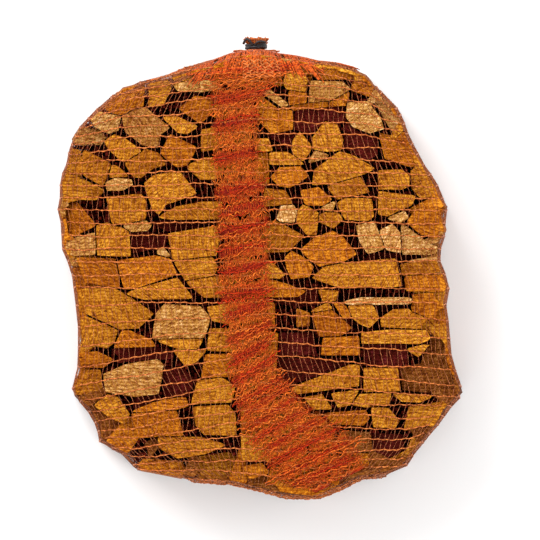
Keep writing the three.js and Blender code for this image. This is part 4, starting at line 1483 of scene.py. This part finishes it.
# %% Gathered threads
END_STRANDS, END_RADIUS, END_SEED = 150, 0.45, 1200
FRONT_STRANDS, FRONT_RADIUS, FRONT_SEED = 190, 0.5, 800
GATHER_LEFT, GATHER_RIGHT = -78, 64       # where the front gathers start, across the bundle


def gather_strand(seed):
    """A gathered thread: up the front to the end of the bundle, then in to the tie."""
    rng = np.random.default_rng(seed)
    x0 = rng.uniform(GATHER_LEFT, GATHER_RIGHT)
    turn = np.clip((x0 - NECK_X) / 60, -1, 1) * 1.35
    t = np.linspace(0, 1, 12)
    top0 = np.interp(x0 * 0.8 + NECK_X * 0.2, SPAN_X, SPAN_TOP)
    front = np.stack([x0 + (NECK_X - x0) * 0.2 * t, top0 - 2 - (1 - t) * rng.uniform(6, 22)], 1)
    rise = np.column_stack([front, front_height(front) + 1.4])
    end = np.array([NECK_X + 7.5 * np.sin(turn), 219.0, NECK_Z + 7.5 * np.cos(turn)])
    t = np.linspace(0, 1, 16)[1:, None]
    into = rise[-1] * (1 - t) + end * t
    wall, cone = end_wall(into[:, 0], into[:, 2]), neck_cone(into[:, 0], into[:, 2])
    taper = np.clip(1.2 - np.abs(x0 - NECK_X) / 75, 0.1, 1)
    into[:-1, 1] = np.maximum(wall, cone)[:-1] + taper * rng.uniform(0.1, 1.5)
    rise[:, :2] *= spread(rise[:, 2])[:, None]
    return np.vstack([rise, into])


def end_strand(seed):
    """A gathered thread lying on the end of the bundle, drawn in from its rim to the tie."""
    rng = np.random.default_rng(seed)
    a = rng.uniform(0, 2 * np.pi)
    start = rng.uniform(38, 74)
    t = np.linspace(0, 1, 16)
    r = start + (8 - start) * t
    turn = a + 0.05 * wobble(t * 4, seed)
    x = NECK_X + r * (1.5 - 0.5 * t) * np.cos(turn)
    z = NECK_Z + r * np.sin(turn)
    return np.stack([x, np.maximum(end_wall(x, z) - 0.4, neck_cone(x, z)) + 0.3 * t, z], 1)


on_end = [end_strand(END_SEED + k) for k in range(END_STRANDS)]
over_front = [gather_strand(FRONT_SEED + k) for k in range(FRONT_STRANDS)]
gathers = [thread(to_frame(path), END_RADIUS, red=0.3, closed=False, facing=MOUTHWARD)
           for path in on_end]
gathers += [thread(to_frame(path), FRONT_RADIUS, red=0.35, closed=False, facing=FRONTWARD)
            for path in over_front]
print("gathered threads:", len(gathers))

# %% [markdown]
# ### The film round the neck
# The finest threads of the gathers are a film like the fold's.  It is a shallow cone from
# the tie out over the end of the bundle, gathered from a flat ellipse.

# %% Neck film
FILM_OUTER, FILM_INNER, FILM_WIDER = 62, 9.5, 1.15    # radii, and how much wider than deep
FILM_REACH = FILM_OUTER - FILM_INNER
FILM_THICK = 0.3
FILM_AROUND, FILM_RINGS = 96, 22


def neck_film():
    """The gathered layers over the end of the bundle, as a thin closed cone of film.

    Grid (angle, radius share): each ring lies on the end wall or on the neck's cone,
    whichever is further out; the under face is the same grid set back a little.
    """
    a = np.linspace(0, 2 * np.pi, FILM_AROUND, endpoint=False)
    radius = np.linspace(FILM_OUTER, FILM_INNER, FILM_RINGS)[:, None]
    x = NECK_X + radius * FILM_WIDER * np.cos(a)
    z = NECK_Z + radius * np.sin(a)
    y = np.maximum(end_wall(x, z), neck_cone(x, z)) - 0.2 - 1.1 * (radius - FILM_INNER) / FILM_REACH
    grids = [np.stack([x, y - back, z], -1).reshape(-1, 3) for back in (0.0, FILM_THICK)]
    points = to_frame(np.concatenate(grids)) * MM
    top = np.arange(x.size).reshape(x.shape)
    near, far = top[:-1], top[1:]
    cells = np.stack([near, far, np.roll(far, -1, 1), np.roll(near, -1, 1)], -1).reshape(-1, 4)
    edges = []
    for ring, sign in ((top[0], 1), (top[-1], -1)):
        after = np.roll(ring, -sign)
        edges.append(np.stack([ring, after, after + x.size, ring + x.size], -1))
    faces = np.concatenate([cells, cells[:, ::-1] + x.size, *edges])
    share = np.broadcast_to(a / (2 * np.pi), x.shape)
    ring_no = np.broadcast_to(np.arange(len(radius))[:, None], x.shape)
    deep = np.broadcast_to(0.02 + 0.5 * (FILM_OUTER - radius) / FILM_REACH, x.shape)
    numbers = dict(red=np.tile(deep.ravel(), 2), across=np.tile((share * 90).ravel(), 2),
                   along=np.tile((ring_no * 0.7).ravel(), 2), edge=np.ones(2 * x.size))
    return points, faces, numbers


points, faces, numbers = neck_film()
made = make_object("net_neck_film", points, [faces], GAUZE, "net", ["net_sack"], **numbers)
print("faces of the neck's film:", len(faces))
make_threads("net_gathers", gathers, FOLD_TAPE)

# %% [markdown]
# ### Loose courses under the tie
# A few pink courses, pulled into scallops, stand off the layers below them.

# %% Loose courses
LATTICE_HALF = 19                # half the width of a loose course, mm
LATTICE_Y = np.arange(191.5, 209, 3.1)
LATTICE_RADIUS, LATTICE_SEED = 0.8, 60


def lattice_thread(y, seed):
    """A loose pink course near the neck, standing off the layers under it."""
    rng = np.random.default_rng(seed)
    u = np.linspace(-LATTICE_HALF, LATTICE_HALF, 60)
    plan = np.stack([u, y + 2.3 * np.abs(np.sin(u * 0.42 + rng.uniform(0, 3))) - 0.003 * u ** 2], 1)
    return laid_path(plan, front_height(plan) + 1.8 + 0.4 * wobble(u * 0.3, seed))


lattice = [thread(lattice_thread(y, LATTICE_SEED + k), LATTICE_RADIUS, closed=False)
           for k, y in enumerate(LATTICE_Y)]
make_threads("net_neck_lattice", lattice, CHAIN_TAPE)

# %% [markdown]
# ### The black twine
# Three turns hold the neck shut.  Both cut ends and one loose turn show in front.

# %% Twine
TWINE_RADIUS = 1.25
TURNS, TURN_RADIUS = 3, 9.9      # of the twine's middle line round the neck
TWINE_FACING = (0.1, 1.0, 0.2)


def twine_material():
    """Black twine: nearly black, slightly shiny, ribbed by its twist."""
    material, tree, surface = new_material("black_twine")
    twist = noise(tree, object_point(tree), 900.0)
    colour = ramp(tree, twist, [(0.4, (0.004, 0.003, 0.004)), (0.7, (0.03, 0.022, 0.022))])
    finish_surface(tree, surface, colour, twist, 1.0, 0.0002)
    return material


def twine_turns():
    """Three turns of twine round the neck, from one tail to the other."""
    a = np.linspace(0, 2 * np.pi * TURNS, 150)
    r = TURN_RADIUS + 0.35 * np.sin(a * 1.3)
    y = TIE_Y - 2.4 + 4.8 * a / a[-1]
    return np.stack([NECK_X + r * np.cos(a + 1.2), y, NECK_Z + r * np.sin(a + 1.2)], 1)


def twine_tail(start, end, bow):
    """A short cut end of the twine."""
    t = np.linspace(0, 1, 14)[:, None]
    start, end, bow = (np.array(p, float) for p in (start, end, bow))
    return start * (1 - t) + end * t + bow * np.sin(np.pi * t)


# each tail as (start, end, bow), with heights z over the neck's middle
TAILS = [((-9, 221.5, 10.4), (-18.5, 223.6, 9), (-1, 5.5, 2.5)),
         ((-7, 222.5, 10.4), (3.0, 225.0, 10), (-1, 2.0, 2.2)),
         ((-12, 220.0, 9.5), (-3.5, 219.2, 10), (1, 1.0, 1.8))]
tails = [twine_tail((*a[:2], NECK_Z + a[2]), (*b[:2], NECK_Z + b[2]), bow) for a, b, bow in TAILS]
twine = [thread(to_frame(path), TWINE_RADIUS, sides=8, closed=False, facing=TWINE_FACING)
         for path in [twine_turns(), *tails]]
make_threads("tie_twine", twine, twine_material(), "tie", "neck_tie")
print("neck threads:", len(neck), "lengths of twine:", len(twine))

# %% [markdown]
# ## Floor, light and camera
# The bundle lies on a plain pale floor under a soft white sky.  One wide lamp high on the
# left gives the stick ends their shape and leaves the gaps between them dark.

# %% Floor
def plain_material(name, colour):
    """A matt floor."""
    material, _, surface = new_material(name, roughness=0.9)
    surface["Base Color"].default_value = (*colour, 1)
    return material


FLOOR_HALF = 3.0                 # m
floor = bpy.data.meshes.new("floor")
floor.from_pydata([(-FLOOR_HALF, -FLOOR_HALF, 0), (FLOOR_HALF, -FLOOR_HALF, 0),
                   (FLOOR_HALF, FLOOR_HALF, 0), (-FLOOR_HALF, FLOOR_HALF, 0)], [], [(0, 1, 2, 3)])
floor.materials.append(plain_material("pale_floor", (0.9, 0.9, 0.9)))
floor_object = bpy.data.objects.new("floor", floor)
bpy.context.scene.collection.objects.link(floor_object)
print("floor side, m:", 2 * FLOOR_HALF)

# %% [markdown]
# ### Light
# The white sky fills every shadow a little.  The key lamp stands high on the left behind
# the neck, and a weaker one on the right softens its shadows.

# %% Light
# name, place (m), side (m) and power (W) of each lamp
LAMPS = [("key_lamp", (-0.9, 1.1, 2.2), 1.2, 46), ("fill_lamp", (1.2, -0.5, 2.2), 1.8, 18)]
world = bpy.data.worlds.new("soft_sky")
bpy.context.scene.world = world
world.use_nodes = True
sky = world.node_tree.nodes["Background"]
sky.inputs["Color"].default_value = (1, 1, 1, 1)
sky.inputs["Strength"].default_value = 1.0


def lamp(name, where, size, power):
    """A square soft lamp aimed at the bundle."""
    data = bpy.data.lights.new(name, "AREA")
    data.size, data.energy = size, power
    made = bpy.data.objects.new(name, data)
    made.location = where
    aim = -made.location
    made.rotation_euler = aim.to_track_quat("-Z", "Y").to_euler()
    bpy.context.scene.collection.objects.link(made)
    return made


for settings in LAMPS:
    lamp(*settings)
print("lamps:", [settings[0] for settings in LAMPS])

# %% [markdown]
# ### Camera
# It looks straight down from far away through a long lens, so that the sides of the bundle
# stay hidden behind the ends of its sticks.

# %% Camera
CAMERA_AT = (0.0095, 0.0006, 4.373)       # m
LENS, SENSOR = 284.7, 36                  # mm
camera_data = bpy.data.cameras.new("camera")
camera_data.lens = LENS
camera_data.sensor_width = SENSOR
camera_data.clip_end = 20
camera = bpy.data.objects.new("camera", camera_data)
camera.location = CAMERA_AT
bpy.context.scene.collection.objects.link(camera)
bpy.context.scene.camera = camera
bpy.context.scene.view_settings.view_transform = "Standard"
print("camera height, m:", CAMERA_AT[2], "lens, mm:", LENS)
